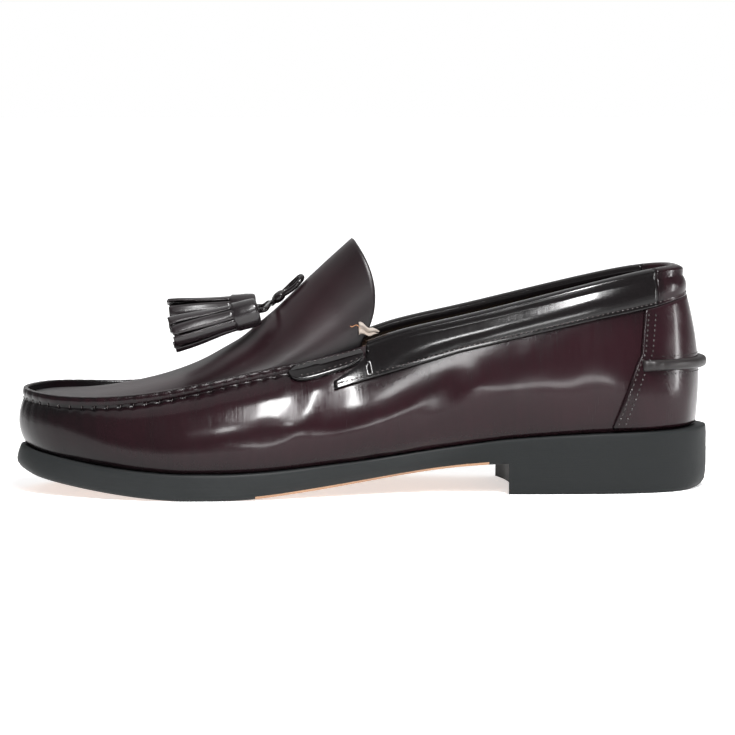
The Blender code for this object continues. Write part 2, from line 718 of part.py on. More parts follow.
def collar_ring(p, low, top=None):
    """Section of the collar band at p; with no top it hooks over the wall's edge."""
    near, far = GAP, GAP + OVERLAY
    high = LIP_SHARE if top is None else top
    vs = low + (high - low) * np.linspace(0, 1, 4)
    outer = over_wall(np.full(4, p), vs, np.full(4, far))
    inner = over_wall(np.full(4, p), vs, np.full(4, near))
    if top is not None:
        edge = [outer[-1] + (inner[-1] - outer[-1]) * share for share in np.linspace(0, 1, 12)[1:-1]]
        return np.vstack([outer, edge, inner[::-1]])
    crown = wall_point(p, 1.0)
    out = top_normal(p)
    up = np.array([0.0, 0.0, 1.0])
    centre = crown - out * WALL / 2 - up * 0.0002
    radius = WALL / 2 + far + 0.0002
    hook = []
    for angle in np.radians((-12, 32, 66, 100, 140, 180)):
        hook.append(centre + out * radius * math.cos(angle) + up * (0.0018 * max(math.sin(angle), -0.4)))
    hook.append(crown - out * (WALL + far) - up * 0.0020)
    hook.append(crown - out * (WALL + near) - up * 0.0020)
    hook.append(crown - out * (WALL + near) + up * near)
    hook.append(crown + out * near + up * near)
    return np.vstack([outer, hook, inner[::-1]])


def build_collar(side):
    lower = line_of(COLLAR_LINE)
    shoulder = line_of(COLLAR_SHOULDER)
    joint = find_on_wall(side, COLLAR_JOINT, 0.93 * TOPLINE_HEIGHT)[0]
    hook_end = find_on_wall(side, COLLAR_HOOK_END, 0.64 * TOPLINE_HEIGHT)[0]
    front = find_on_wall(side, COLLAR_FRONT, 0.51 * TOPLINE_HEIGHT)[0]
    ahead = 1.0 if side == "medial" else -1.0
    first, last = sorted((joint, hook_end))
    between = sorted([p for p in AROUND if first + 0.002 < p < last - 0.002], reverse=ahead < 0)
    hooked = [joint] + between + [hook_end]
    flat = [hook_end + ahead * 0.00002] + list(np.linspace(hook_end, front, 6)[1:])
    rings = []
    for p, low in zip(hooked, solve_height(hooked, lower)):
        rings.append(collar_ring(p, low))
    for p, low, top in zip(flat, solve_height(flat, lower), solve_height(flat, shoulder)):
        rings.append(collar_ring(p, low, top))
    mesh = bmesh.new()
    loft(mesh, rings)
    return finish("collar_" + side, mesh, DARK)


def build_collar_back():
    lower = line_of(COLLAR_LINE)
    skip = GAP / SOLE_LENGTH
    medial = find_on_wall("medial", COLLAR_JOINT - skip, 0.93 * TOPLINE_HEIGHT)[0]
    lateral = find_on_wall("lateral", COLLAR_JOINT - skip, 0.93 * TOPLINE_HEIGHT)[0] - 1.0
    inside = [p for p in np.concatenate([AROUND - 1, AROUND]) if lateral + 0.002 < p < medial - 0.002]
    shares = [lateral] + inside + [medial]
    rings = [collar_ring(p, low) for p, low in zip(shares, solve_height(shares, lower))]
    mesh = bmesh.new()
    loft(mesh, rings)
    return finish("collar_back", mesh, BURGUNDY)


def build_backstay():
    bottom = STAY_EDGE[0][1]
    top = STAY_EDGE[-1][1]
    edges = sorted(STAY_EDGE, key=lambda row: row[1])
    levels = np.linspace(bottom, top, 11)
    outer, inner = [], []
    lower = line_of(COLLAR_LINE)
    for level in levels:
        along = float(np.interp(level, [row[1] for row in edges], [row[0] for row in edges]))
        height = level * TOPLINE_HEIGHT
        share = (level - bottom) / (top - bottom)
        start = find_on_wall("lateral", along, height)[0] - 1.0
        end = find_on_wall("medial", along, height)[0]
        ps = start + (end - start) * np.linspace(0, 1, 19)
        # the rows bend up toward the collar's lower line
        vs = solve_height(ps, lambda a: height + share ** 3 * (lower(a) - 0.0006 - top * TOPLINE_HEIGHT))
        outer.append(over_wall(ps, vs, np.full(19, GAP + OVERLAY)))
        inner.append(over_wall(ps, vs, np.full(19, GAP)))
    return slab("backstay", np.array(outer), np.array(inner), BURGUNDY)


def build_strap():
    """Short strap over the back stay, with a half-round section."""
    level = STRAP_LEVEL * TOPLINE_HEIGHT
    start = find_on_wall("lateral", STRAP_END, level)[0] - 1.0
    end = find_on_wall("medial", STRAP_END, level)[0]
    base = 2 * GAP + OVERLAY
    rings = []
    shares = np.linspace(start, end, 25)
    for p, v in zip(shares, solve_height(shares, lambda a: level)):
        centre = wall_point(p, v)
        out = wall_normal(p, v)
        up = np.array([0.0, 0.0, 1.0])
        up = up - out * np.dot(up, out)
        up = up / np.linalg.norm(up)
        taper = smooth(min(p - start, end - p) / 0.008)
        depth = STRAP_DEPTH * (0.45 + 0.55 * float(taper))
        ring = [centre + out * base - up * STRAP_HEIGHT / 2, centre + out * base + up * STRAP_HEIGHT / 2]
        for angle in np.radians((62, 25, -25, -62)):
            rise = up * STRAP_HEIGHT / 2 * math.sin(angle)
            ring.append(centre + out * (base + depth * (0.35 + 0.65 * math.cos(angle))) + rise)
        rings.append(ring)
    mesh = bmesh.new()
    loft(mesh, rings)
    return finish("heel_strap", mesh, BURGUNDY)


def build_tab(side):
    """Rounded strap end lying along the ridge beside the throat."""
    outer, inner = [], []
    shares = np.sin(np.linspace(-1, 1, 13) * math.pi / 2)
    back = np.array([TAB_BACK[0] * SOLE_LENGTH, TAB_BACK[1] * TOPLINE_HEIGHT])
    front = np.array([TAB_FRONT[0] * SOLE_LENGTH, TAB_FRONT[1] * TOPLINE_HEIGHT])
    middle = (back + front) / 2
    run = (front - back) / np.linalg.norm(front - back)
    lift = np.array([-run[1], run[0]])
    for share in shares:
        width = TAB_WIDTH / 2 * max(1 - abs(share) ** 3.2, 0.02) ** (1 / 2.4)
        centre = middle + run * share * TAB_LENGTH / 2
        row = centre + lift * width * np.linspace(-1, 1, 7)[:, None]
        ps, vs = find_on_wall(side, row[:, 0] / SOLE_LENGTH, row[:, 1])
        vs = np.minimum(vs, 0.995)
        outer.append(over_wall(ps, vs, np.full(7, GAP * 2 + OVERLAY)))
        inner.append(over_wall(ps, vs, np.full(7, GAP * 2)))
    return slab("tab_" + side, np.array(outer), np.array(inner), DARK)


def place(shares):
    return np.array([shares[0] * SOLE_LENGTH, shares[1] * BALL_WIDTH, shares[2] * TOPLINE_HEIGHT])


def tassel_frame(row):
    slope, yaw = math.radians(row[4]), math.radians(row[5])
    start = place(row[1:4])
    run = np.array([-math.cos(slope) * math.cos(yaw), -math.sin(yaw) * math.cos(slope), -math.sin(slope)])
    side = np.cross(run, (0.0, 0.0, 1.0))
    side = side / np.linalg.norm(side)
    return start, run, side, np.cross(side, run)


def build_tassel(row):
    start, run, side, up = tassel_frame(row)
    points = TASSEL_STRIPS * 4
    rings = []
    for distance, radius, depth in TASSEL_PROFILE:
        ring = []
        for k in range(points):
            angle = 2 * math.pi * k / points
            groove = (0.0, 0.35, 1.0, 0.35)[k % 4] * depth
            reach = TASSEL_RADIUS * radius * (1 - groove)
            ring.append(start + run * distance * TASSEL_LENGTH
                        + (side * math.cos(angle) + up * math.sin(angle)) * reach)
        rings.append(ring)
    mesh = bmesh.new()
    loft(mesh, rings)
    return finish("tassel_" + row[0], mesh, DARK)


def cord(name, points, steps):
    """Round thong along a curve through the points."""
    curve = bpy.data.curves.new(name, "CURVE")
    curve.dimensions = "3D"
    curve.bevel_depth = THONG_RADIUS
    curve.bevel_resolution = 2
    curve.use_fill_caps = True
    path = spline(np.linspace(0, 1, len(points)), points)(np.linspace(0, 1, steps))
    line = curve.splines.new("POLY")
    line.points.add(len(path) - 1)
    for point, position in zip(line.points, path):
        point.co = (*position, 1.0)
    curve.materials.append(material(*DARK))
    thing = bpy.data.objects.new(name, curve)
    bpy.context.collection.objects.link(thing)
    return thing


def over_plug(along, across, lift):
    """Point over the plug's crest at a distance along, with an offset across and a lift."""
    shares = np.linspace(0.5, 1.0, 501)
    crest = plug_point(shares, np.zeros(501))
    order = np.argsort(along_of(crest[:, 0]))
    u = float(np.interp(along, along_of(crest[order, 0]), shares[order]))
    normal = plug_normal(u, 0.0)
    normal = normal * np.sign(normal[2])
    half = float(rows_at(u)[4] - rows_at(u)[1]) / 2
    return plug_point(u, math.asin(across / half)) + normal * lift, normal


def build_lace():
    sizes = np.array(KNOT_HALVES) * THONG_RADIUS
    knot, away = over_plug(KNOT_ALONG, 0.0, sizes[2] + GAP * 1.5)
    sideways = np.array([0.0, 1.0, 0.0])
    uphill = np.cross(sideways, away)
    rest = THONG_RADIUS + GAP * 1.5
    wide, tilt = LOOP_WIDTH * THONG_RADIUS, LOOP_TILT * THONG_RADIUS
    half_way = KNOT_ALONG - LOOP_LENGTH * 0.55
    near = over_plug(half_way, -wide, rest + tilt * 0.1)[0]
    far = over_plug(half_way, wide, rest + tilt)[0]
    end_near = over_plug(KNOT_ALONG - LOOP_LENGTH * 0.93, -wide * 0.6, rest + tilt * 0.15)[0]
    end = over_plug(KNOT_ALONG - LOOP_LENGTH, 0.0, rest + tilt * 0.5)[0]
    end_far = over_plug(KNOT_ALONG - LOOP_LENGTH * 0.93, wide * 0.6, rest + tilt * 0.9)[0]
    loop = cord("lace_bow", [
        knot - sideways * THONG_RADIUS, near, end_near, end, end_far, far, knot + sideways * THONG_RADIUS,
    ], 21)
    knot_mesh = bmesh.new()
    bmesh.ops.create_uvsphere(knot_mesh, u_segments=14, v_segments=8, radius=1.0)
    for vert in knot_mesh.verts:
        part = uphill * sizes[0] * vert.co.x + sideways * sizes[1] * vert.co.y + away * sizes[2] * vert.co.z
        vert.co = Vector(knot + part)
    cutter = finish("knot_body", knot_mesh, DARK)
    dependency = bpy.context.evaluated_depsgraph_get()
    data = bpy.data.meshes.new_from_object(loop.evaluated_get(dependency))
    bpy.data.objects.remove(loop, do_unlink=True)
    solid = bpy.data.objects.new("lace_bow", data)
    bpy.context.collection.objects.link(solid)
    join = solid.modifiers.new("knot", "BOOLEAN")
    join.operation = "UNION"
    join.solver = "EXACT"
    join.object = cutter
    cutter.hide_render = True
    cutter.display_type = "WIRE"
    for row in TASSELS:
        start, run, side, up = tassel_frame(row)
        sign = -1.0 if row[0] == "medial" else 1.0
        downhill = -uphill * (sizes[0] + THONG_RADIUS * 0.4 + GAP)
        first = knot + downhill + sideways * sign * THONG_RADIUS * 1.6
        last = start - run * GAP * 2.5
        before = last - run * 0.0022
        lift = np.array([0.0, 0.0, 0.0006])
        cord("thong_" + row[0], [first, (first * 0.55 + before * 0.45) + lift, before, last], 9)


def clear_scene():
    for thing in list(bpy.data.objects):
        bpy.data.objects.remove(thing, do_unlink=True)


clear_scene()
build_outsole()
build_heel()
build_insole()
build_upper()
build_plug()
for side_name in ("medial", "lateral"):
    build_collar(side_name)
    build_tab(side_name)
build_collar_back()
build_backstay()
build_strap()
build_lace()
for tassel_row in TASSELS:
    build_tassel(tassel_row)
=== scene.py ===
import math
import bmesh
import bpy
import numpy as np
from mathutils import Matrix, Vector


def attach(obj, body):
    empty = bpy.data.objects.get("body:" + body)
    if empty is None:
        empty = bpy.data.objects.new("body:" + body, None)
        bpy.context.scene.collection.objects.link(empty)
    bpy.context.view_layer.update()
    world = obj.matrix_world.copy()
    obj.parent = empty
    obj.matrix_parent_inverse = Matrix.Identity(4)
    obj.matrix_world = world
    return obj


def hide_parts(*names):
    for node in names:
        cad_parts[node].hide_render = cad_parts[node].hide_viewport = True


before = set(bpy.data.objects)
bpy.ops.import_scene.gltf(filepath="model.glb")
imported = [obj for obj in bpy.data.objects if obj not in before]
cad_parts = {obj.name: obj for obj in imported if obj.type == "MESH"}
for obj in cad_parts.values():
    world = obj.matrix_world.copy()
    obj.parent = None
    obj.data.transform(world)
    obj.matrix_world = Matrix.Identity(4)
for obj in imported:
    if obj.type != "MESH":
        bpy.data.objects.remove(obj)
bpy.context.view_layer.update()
scene = bpy.context.scene

# the camera stands at the picture's angle to the shoe
cameraView = {
    "turn": -3.0,
    "rise": 5.3,
    "distance": 1.8,
    "target": (-0.101, 0.0, 0.0503),
    "lens": 209.9,
    "sensor": 36.0,
    "seesTo": 60.0,
}


def addThing(name, data):
    thing = bpy.data.objects.new(name, data)
    scene.collection.objects.link(thing)
    return thing


def buildCamera():
    turn = math.radians(cameraView["turn"])
    rise = math.radians(cameraView["rise"])
    level = math.cos(rise)
    back = Vector((math.sin(turn) * level, -math.cos(turn) * level, math.sin(rise)))
    data = bpy.data.cameras.new("pictureCamera")
    data.sensor_width = cameraView["sensor"]
    data.lens = cameraView["lens"]
    data.clip_end = cameraView["seesTo"]
    camera = addThing("pictureCamera", data)
    camera.location = Vector(cameraView["target"]) + back * cameraView["distance"]
    camera.rotation_euler = back.to_track_quat("Z", "Y").to_euler()
    scene.camera = camera


buildCamera()
print("camera made")

shoe = {
    "soleLength": 0.290,
    "ballWidth": 0.104,
    "heelWidth": 0.067,
    "soleThickness": 0.0106,
    "heelHeight": 0.0162,
    "heelLength": 0.086,
    "breastCurve": 0.004,
    "toeSpring": 0.011,
    "toplineHeight": 0.0915,
    "tongueRise": 0.0444,
    "weltLedge": 0.004,
    "wall": 0.0018,
    "plugWall": 0.0016,
    "overlay": 0.0012,
    "ridgeLip": 0.003,
    "gap": 0.0003,
    "originShare": 0.488,
    "flatFrom": 0.7103,
    "springFrom": 0.7655,
    "lipShare": 0.86,
}
# the shoe's form as shares of its sizes, section by section, as the frame has it
form = {
    "outline": (
        (0.0000, 0.0000, 0.0000),
        (0.0103, 0.179, 0.179),
        (0.0276, 0.299, 0.299),
        (0.0552, 0.388, 0.388),
        (0.0931, 0.455, 0.463),
        (0.1621, 0.493, 0.500),
        (0.2310, 0.488, 0.511),
        (0.2966, 0.445, 0.507),
        (0.3621, 0.391, 0.498),
        (0.4310, 0.363, 0.493),
        (0.4966, 0.374, 0.493),
        (0.5552, 0.408, 0.497),
        (0.6207, 0.447, 0.510),
        (0.6862, 0.476, 0.519),
        (0.7448, 0.481, 0.505),
        (0.8000, 0.462, 0.471),
        (0.8483, 0.423, 0.423),
        (0.8897, 0.367, 0.364),
        (0.9241, 0.306, 0.300),
        (0.9517, 0.250, 0.242),
        (0.9759, 0.178, 0.163),
        (0.9931, 0.094, 0.071),
        (1.0000, 0.014, -0.014),
    ),
    "heights": (
        (0.0000, 1.0000, 0.0000, 0.953),
        (0.0552, 0.9621, 0.0000, 0.965),
        (0.1621, 0.8887, 0.0000, 1.010),
        (0.2310, 0.8413, 0.0000, 1.000),
        (0.2966, 0.7963, 0.0000, 0.943),
        (0.3621, 0.7037, 0.0000, 0.855),
        (0.4276, 0.5617, 0.0000, 0.830),
        (0.4966, 0.3827, 0.0000, 0.850),
        (0.5552, 0.2407, 0.0000, 0.925),
        (0.6207, 0.0988, 0.0000, 0.981),
        (0.6828, 0.0123, 0.0000, 1.015),
        (0.7103, 0.0000, 0.0000, 1.019),
        (0.7655, 0.0000, 0.0000, 1.024),
        (0.8000, 0.0000, 0.0455, 1.019),
        (0.8414, 0.0000, 0.1455, 1.009),
        (0.8793, 0.0000, 0.2636, 1.000),
        (0.9138, 0.0000, 0.3909, 1.000),
        (0.9483, 0.0000, 0.5455, 1.000),
        (0.9793, 0.0000, 0.7545, 0.972),
        (1.0000, 0.0000, 1.0000, 0.925),
    ),
    "medial": (
        (0.000, 1.50, 0.0425, 0.0000, 1.0000, 1.00, 0.022, 0.30, 0.139, 0.50),
        (0.034, 1.25, 0.0580, 0.1716, 1.0033, 1.00, 0.045, 0.30, 0.100, 0.45),
        (0.093, 0.85, 0.1017, 0.2791, 0.9858, 1.00, 0.082, 0.30, 0.090, 0.40),
        (0.162, 0.75, 0.1603, 0.3433, 0.9475, 1.00, 0.090, 0.30, 0.112, 0.42),
        (0.259, 0.55, 0.2621, 0.3770, 0.8699, 1.00, 0.102, 0.28, 0.123, 0.45),
        (0.362, 0.45, 0.3724, 0.3406, 0.7869, 1.00, 0.126, 0.22, 0.120, 0.45),
        (0.448, 0.42, 0.4586, 0.2950, 0.7224, 1.00, 0.127, 0.20, 0.110, 0.42),
        (0.514, 0.53, 0.5138, 0.2671, 0.6623, 1.00, 0.097, 0.24, 0.117, 0.35),
        (0.593, 0.70, 0.5862, 0.2684, 0.6055, 1.00, 0.058, 0.28, 0.135, 0.25),
        (0.686, 0.85, 0.6828, 0.2933, 0.5454, 1.13, 0.043, 0.30, 0.139, 0.15),
        (0.759, 0.88, 0.7621, 0.3077, 0.4929, 1.33, 0.038, 0.31, 0.125, 0.12),
        (0.828, 0.88, 0.8328, 0.3077, 0.4612, 1.53, 0.038, 0.33, 0.091, 0.15),
        (0.890, 0.88, 0.8948, 0.2885, 0.4503, 1.60, 0.038, 0.35, 0.058, 0.20),
        (0.938, 0.88, 0.9431, 0.2308, 0.4530, 1.60, 0.038, 0.37, 0.038, 0.25),
        (0.976, 0.90, 0.9741, 0.1346, 0.4610, 1.60, 0.038, 0.37, 0.029, 0.30),
        (1.000, 0.95, 0.9897, 0.0144, 0.4700, 1.60, 0.038, 0.37, 0.024, 0.30),
    ),
    "lateral": (
        (0.034, 1.25, 0.0580, 0.1716, 1.0033, 1.00, 0.045, 0.30, 0.100, 0.45),
        (0.093, 0.85, 0.1017, 0.2791, 0.9858, 1.00, 0.082, 0.30, 0.090, 0.40),
        (0.162, 0.75, 0.1603, 0.3433, 0.9475, 1.00, 0.090, 0.30, 0.112, 0.42),
        (0.259, 0.60, 0.2621, 0.3843, 0.8699, 1.00, 0.087, 0.28, 0.123, 0.45),
        (0.362, 0.55, 0.3724, 0.3532, 0.7869, 1.00, 0.069, 0.26, 0.126, 0.45),
        (0.448, 0.57, 0.4586, 0.3094, 0.7224, 1.00, 0.055, 0.26, 0.133, 0.42),
        (0.514, 0.65, 0.5138, 0.2803, 0.6623, 1.00, 0.051, 0.27, 0.143, 0.35),
        (0.593, 0.75, 0.5862, 0.2800, 0.6055, 1.00, 0.043, 0.28, 0.159, 0.25),
        (0.686, 0.85, 0.6828, 0.3077, 0.5454, 1.13, 0.038, 0.30, 0.163, 0.15),
        (0.759, 0.88, 0.7621, 0.3173, 0.4929, 1.33, 0.038, 0.31, 0.135, 0.12),
        (0.828, 0.88, 0.8328, 0.3125, 0.4650, 1.53, 0.038, 0.33, 0.096, 0.15),
        (0.890, 0.88, 0.8948, 0.2837, 0.4680, 1.60, 0.038, 0.35, 0.058, 0.20),
        (0.938, 0.88, 0.9431, 0.2212, 0.4750, 1.60, 0.038, 0.37, 0.038, 0.25),
        (0.976, 0.90, 0.9741, 0.1183, 0.4760, 1.60, 0.038, 0.37, 0.029, 0.30),
    ),
    "plug": (
        (0.9800, 0.9760, 0.008, 0.90, 1.0, 1.00, 0.00),
        (0.9700, 0.9620, 0.022, 0.92, 1.0, 1.00, 0.00),
        (0.9483, 0.9380, 0.040, 0.95, 1.0, 1.00, 0.00),
        (0.9138, 0.9034, 0.058, 0.95, 1.0, 1.00, 0.00),
        (0.8690, 0.8586, 0.096, 0.90, 1.0, 1.05, 0.00),
        (0.8207, 0.8069, 0.142, 0.80, 1.0, 1.15, 0.00),
        (0.7379, 0.7345, 0.207, 0.70, 1.0, 1.35, 0.00),
        (0.6828, 0.6931, 0.270, 0.62, 1.0, 1.50, 0.01),
        (0.6345, 0.6552, 0.384, 0.55, 1.0, 1.65, 0.02),
        (0.5862, 0.6069, 0.594, 0.45, 1.2, 1.90, 0.06),
        (0.5448, 0.5621, 0.803, 0.35, 1.7, 2.15, 0.12),
        (0.5103, 0.5160, 1.000, 0.20, 2.3, 2.35, 0.17),
    ),
    "collarLine": (
        (0.034, 0.884),
        (0.084, 0.840),
        (0.163, 0.793),
        (0.231, 0.746),
        (0.300, 0.697),
        (0.367, 0.648),
        (0.430, 0.590),
        (0.497, 0.529),
        (0.550, 0.481),
    ),
    "collarShoulder": (
        (0.499, 0.618),
        (0.520, 0.563),
        (0.547, 0.515),
    ),
    "stayEdge": (
        (0.148, 0.300),
        (0.131, 0.444),
        (0.114, 0.588),
        (0.107, 0.632),
        (0.100, 0.830),
    ),
}


def smooth(value):
    value = np.clip(value, 0.0, 1.0)
    return value * value * (3 - 2 * value)


def spline(knots, values):
    knots = np.asarray(knots, float)
    values = np.asarray(values, float)
    if values.ndim == 1:
        values = values[:, None]
    step = np.diff(knots)
    count = len(knots)
    matrix = np.eye(count)
    target = np.zeros_like(values)
    for i in range(1, count - 1):
        matrix[i, i - 1] = step[i - 1]
        matrix[i, i] = 2 * (step[i - 1] + step[i])
        matrix[i, i + 1] = step[i]
        ahead = (values[i + 1] - values[i]) / step[i]
        behind = (values[i] - values[i - 1]) / step[i - 1]
        target[i] = 6 * (ahead - behind)
    bend = np.linalg.solve(matrix, target)

    def at(where):
        where = np.asarray(where, float)
        i = np.clip(np.searchsorted(knots, where) - 1, 0, count - 2)
        size = step[i][..., None]
        low = (knots[i + 1] - where)[..., None] / size
        high = (where - knots[i])[..., None] / size
        curve = low * values[i] + high * values[i + 1]
        bow = (low ** 3 - low) * bend[i] + (high ** 3 - high) * bend[i + 1]
        return curve + bow * size * size / 6

    return at


def closedSpline(knots, values):
    knots = np.asarray(knots, float)
    values = np.asarray(values, float)
    longer = np.concatenate([knots[-5:] - 1, knots, knots[:5] + 1])
    at = spline(longer, np.concatenate([values[-5:], values, values[:5]]))
    return lambda where: at(np.mod(where, 1.0))


def localWidth(along):
    heel, ball = shoe["heelWidth"], shoe["ballWidth"]
    return heel + (ball - heel) * smooth((along - 0.2) / 0.42)


def forward(along):
    return shoe["originShare"] * shoe["heelLength"] - along * shoe["soleLength"]


def alongOf(x):
    return (shoe["originShare"] * shoe["heelLength"] - x) / shoe["soleLength"]


def outlineCurve():
    points = []
    for along, medial, lateral in form["outline"]:
        points.append((forward(along), -medial * localWidth(along)))
    for along, medial, lateral in reversed(form["outline"][1:-1]):
        points.append((forward(along), lateral * localWidth(along)))
    points = np.array(points)
    reach = np.linalg.norm(np.diff(np.vstack([points, points[:1]]), axis=0), axis=1)
    knots = np.concatenate([[0.0], np.cumsum(reach)[:-1]]) / reach.sum()
    return closedSpline(knots, points), knots[len(form["outline"]) - 1]


outlineAt, tipShare = outlineCurve()
dense = np.linspace(0, 1, 4001)
denseAlong = alongOf(outlineAt(dense)[:, 0])


def perimeterAt(side, along):
    if side == "medial":
        chosen = dense <= tipShare
        return np.interp(along, denseAlong[chosen], dense[chosen])
    chosen = dense >= tipShare
    return np.interp(along, denseAlong[chosen][::-1], dense[chosen][::-1])


def outlineNormal(p):
    ahead = outlineAt(p + 0.0005)
    behind = outlineAt(p - 0.0005)
    run = ahead - behind
    normal = np.stack([-run[..., 1], run[..., 0]], axis=-1)
    return normal / np.linalg.norm(normal, axis=-1, keepdims=True)


heightsAt = spline([row[0] for row in form["heights"]], [row[1:] for row in form["heights"]])
breastShare = shoe["heelLength"] / shoe["soleLength"]


def soleBottom(along):
    along = np.clip(along, 0.0, 1.0)
    arch, spring = heightsAt(along)[..., 0], heightsAt(along)[..., 1]
    breast = float(heightsAt(breastShare)[..., 0])
    seat = 1.0 + (breast - 1.0) * along / breastShare
    arch = np.where(along < breastShare, seat, np.clip(arch, 0.0, 1.0))
    arch = np.where(along > shoe["flatFrom"], 0.0, arch)
    spring = np.where(along < shoe["springFrom"], 0.0, np.clip(spring, 0.0, 1.2))
    return arch * shoe["heelHeight"] + spring * shoe["toeSpring"]


def soleTop(along):
    along = np.clip(along, 0.0, 1.0)
    return soleBottom(along) + heightsAt(along)[..., 2] * shoe["soleThickness"]


def upperSections():
    knots = []
    rows = []
    sides = (("medial", form["medial"], -1.0), ("lateral", form["lateral"][::-1], 1.0))
    for side, table, sign in sides:
        for foot, ledge, along, across, height, lip, low, rise, high, drop in table:
            width = localWidth(foot)
            knots.append(float(perimeterAt(side, foot)))
            rows.append((
                ledge * shoe["weltLedge"], forward(along), sign * across * width,
                height * shoe["toplineHeight"], lip * shoe["ridgeLip"],
                low * width, rise, high * width, drop,
            ))
    knots[0] = 0.0
    knots[len(form["medial"]) - 1] = tipShare
    return closedSpline(knots, rows)


sectionsAt = upperSections()


def ledgePoint(p, inset):
    return outlineAt(p) + outlineNormal(p) * -np.asarray(inset)[..., None]


def wallPoint(p, v):
    p, v = np.broadcast_arrays(np.asarray(p, float), np.asarray(v, float))
    row = sectionsAt(p)
    normal = outlineNormal(p)
    foot = ledgePoint(p, row[..., 0])
    footZ = soleTop(alongOf(foot[..., 0])) + shoe["gap"]
    top = row[..., 1:3]
    baseZ = row[..., 3] - row[..., 4]
    height = baseZ - footZ
    share = np.clip(v / shoe["lipShare"], 0, 1)[..., None]
    levels = (
        (foot, footZ), (foot + normal * row[..., 5:6], footZ + height * row[..., 6]),
        (top + normal * row[..., 7:8], baseZ - height * row[..., 8]), (top, baseZ),
    )
    handles = [np.concatenate([plan, z[..., None]], axis=-1) for plan, z in levels]
    point = handles[0] * (1 - share) ** 3 + handles[1] * 3 * (1 - share) ** 2 * share
    point = point + handles[2] * 3 * (1 - share) * share ** 2 + handles[3] * share ** 3
    lip = np.clip((v - shoe["lipShare"]) / (1 - shoe["lipShare"]), 0, 1)
    point[..., 2] += lip * row[..., 4]
    return point


def wallNormal(p, v):
    p, v = np.broadcast_arrays(np.asarray(p, float), np.asarray(v, float))
    along = wallPoint(p + 0.0008, v) - wallPoint(p - 0.0008, v)
    rise = wallPoint(p, np.clip(v + 0.01, 0, 1)) - wallPoint(p, np.clip(v - 0.01, 0, 1))
    normal = np.cross(rise, along)
    return normal / np.linalg.norm(normal, axis=-1, keepdims=True)


def overWall(p, v, offset):
    return wallPoint(p, v) + wallNormal(p, v) * np.asarray(offset)[..., None]


def topNormal(p):
    run = (sectionsAt(p + 0.002) - sectionsAt(p - 0.002))[..., 1:3]
    normal = np.stack([run[..., 1], -run[..., 0]], axis=-1)
    normal = normal / np.linalg.norm(normal, axis=-1, keepdims=True)
    return np.concatenate([-normal, np.zeros(normal.shape[:-1] + (1,))], axis=-1)


def solveHeight(p, line):
    p = np.asarray(p, float)
    low, high = np.zeros(p.shape), np.ones(p.shape)
    for _ in range(22):
        middle = (low + high) / 2
        point = wallPoint(p, middle)
        under = point[..., 2] < line(alongOf(point[..., 0]))
        low = np.where(under, middle, low)
        high = np.where(under, high, middle)
    return (low + high) / 2


def findOnWall(side, along, height):
    along, height = np.broadcast_arrays(np.asarray(along, float), np.asarray(height, float))
    p = perimeterAt(side, along)
    v = np.full(p.shape, 0.6)
    for _ in range(16):
        here = wallPoint(p, v)
        byP = (wallPoint(p + 0.0005, v) - here) / 0.0005
        byV = (here - wallPoint(p, v - 0.004)) / 0.004
        missAlong = (alongOf(here[..., 0]) - along) * -shoe["soleLength"]
        missHeight = here[..., 2] - height
        size = byP[..., 0] * byV[..., 2] - byV[..., 0] * byP[..., 2]
        stepP = (missAlong * byV[..., 2] - missHeight * byV[..., 0]) / size
        stepV = (missHeight * byP[..., 0] - missAlong * byP[..., 2]) / size
        p = p - np.clip(stepP, -0.02, 0.02)
        v = np.clip(v - np.clip(stepV, -0.2, 0.2), 0.01, 1.0)
    return p, v


def lineOf(table):
    table = sorted(table)
    xs = [row[0] for row in table]
    ys = [row[1] for row in table]
    return lambda along: np.interp(along, xs, ys) * shoe["toplineHeight"]


def ridgeAt(side, along):
    shares = dense[dense <= tipShare] if side == "medial" else dense[dense >= tipShare]
    tops = alongOf(sectionsAt(shares)[:, 1])
    order = np.argsort(tops)
    return float(np.interp(along, tops[order], shares[order]))


def plugEdge(side, along, depth, inset):
    p = ridgeAt(side, along)
    wall = shoe["wall"]
    point = wallPoint(p, 1.0) - topNormal(p) * (wall + shoe["gap"] + (inset - 1.0) * wall)
    point[2] -= depth * shoe["ridgeLip"]
    return point


def plugRows():
    rows = []
    knots = []
    tip = plugEdge("medial", 0.9885, 0.9, 1.0)
    rows.append((*tip, *tip, tip[0], 0.0, 1.0, 0.0))
    knots.append(0.0)
    reach = 0.0
    before = tip
    for edge, crest, rise, depth, inset, square, bow in form["plug"]:
        medial = plugEdge("medial", edge, depth, inset)
        lateral = plugEdge("lateral", edge, depth, inset)
        reach += max(float(np.linalg.norm(medial - before)), 0.001)
        before = medial
        knots.append(reach)
        up = shoe["tongueRise"]
        rows.append((*medial, *lateral, forward(crest), rise * up, square, bow * up))
    knots = np.array(knots) / reach
    return spline(knots, rows)


rowsAt = plugRows()


def plugPoint(u, turn):
    u, turn = np.broadcast_arrays(np.asarray(u, float), np.asarray(turn, float))
    row = rowsAt(u)
    across = np.sin(turn)
    square = row[..., 8]
    shape = np.power(np.clip(1 - np.abs(across) ** (1.2 + 0.55 * square), 0, 1), 1 / square)
    middle = (row[..., 0:3] + row[..., 3:6]) / 2
    half = (row[..., 3:6] - row[..., 0:3]) / 2
    point = middle + half * across[..., None]
    point[..., 0] = middle[..., 0] + (row[..., 6] - middle[..., 0]) * shape + half[..., 0] * across
    point[..., 0] += row[..., 9] * 4 * shape * (1 - shape)
    point[..., 2] += row[..., 7] * shape
    return point


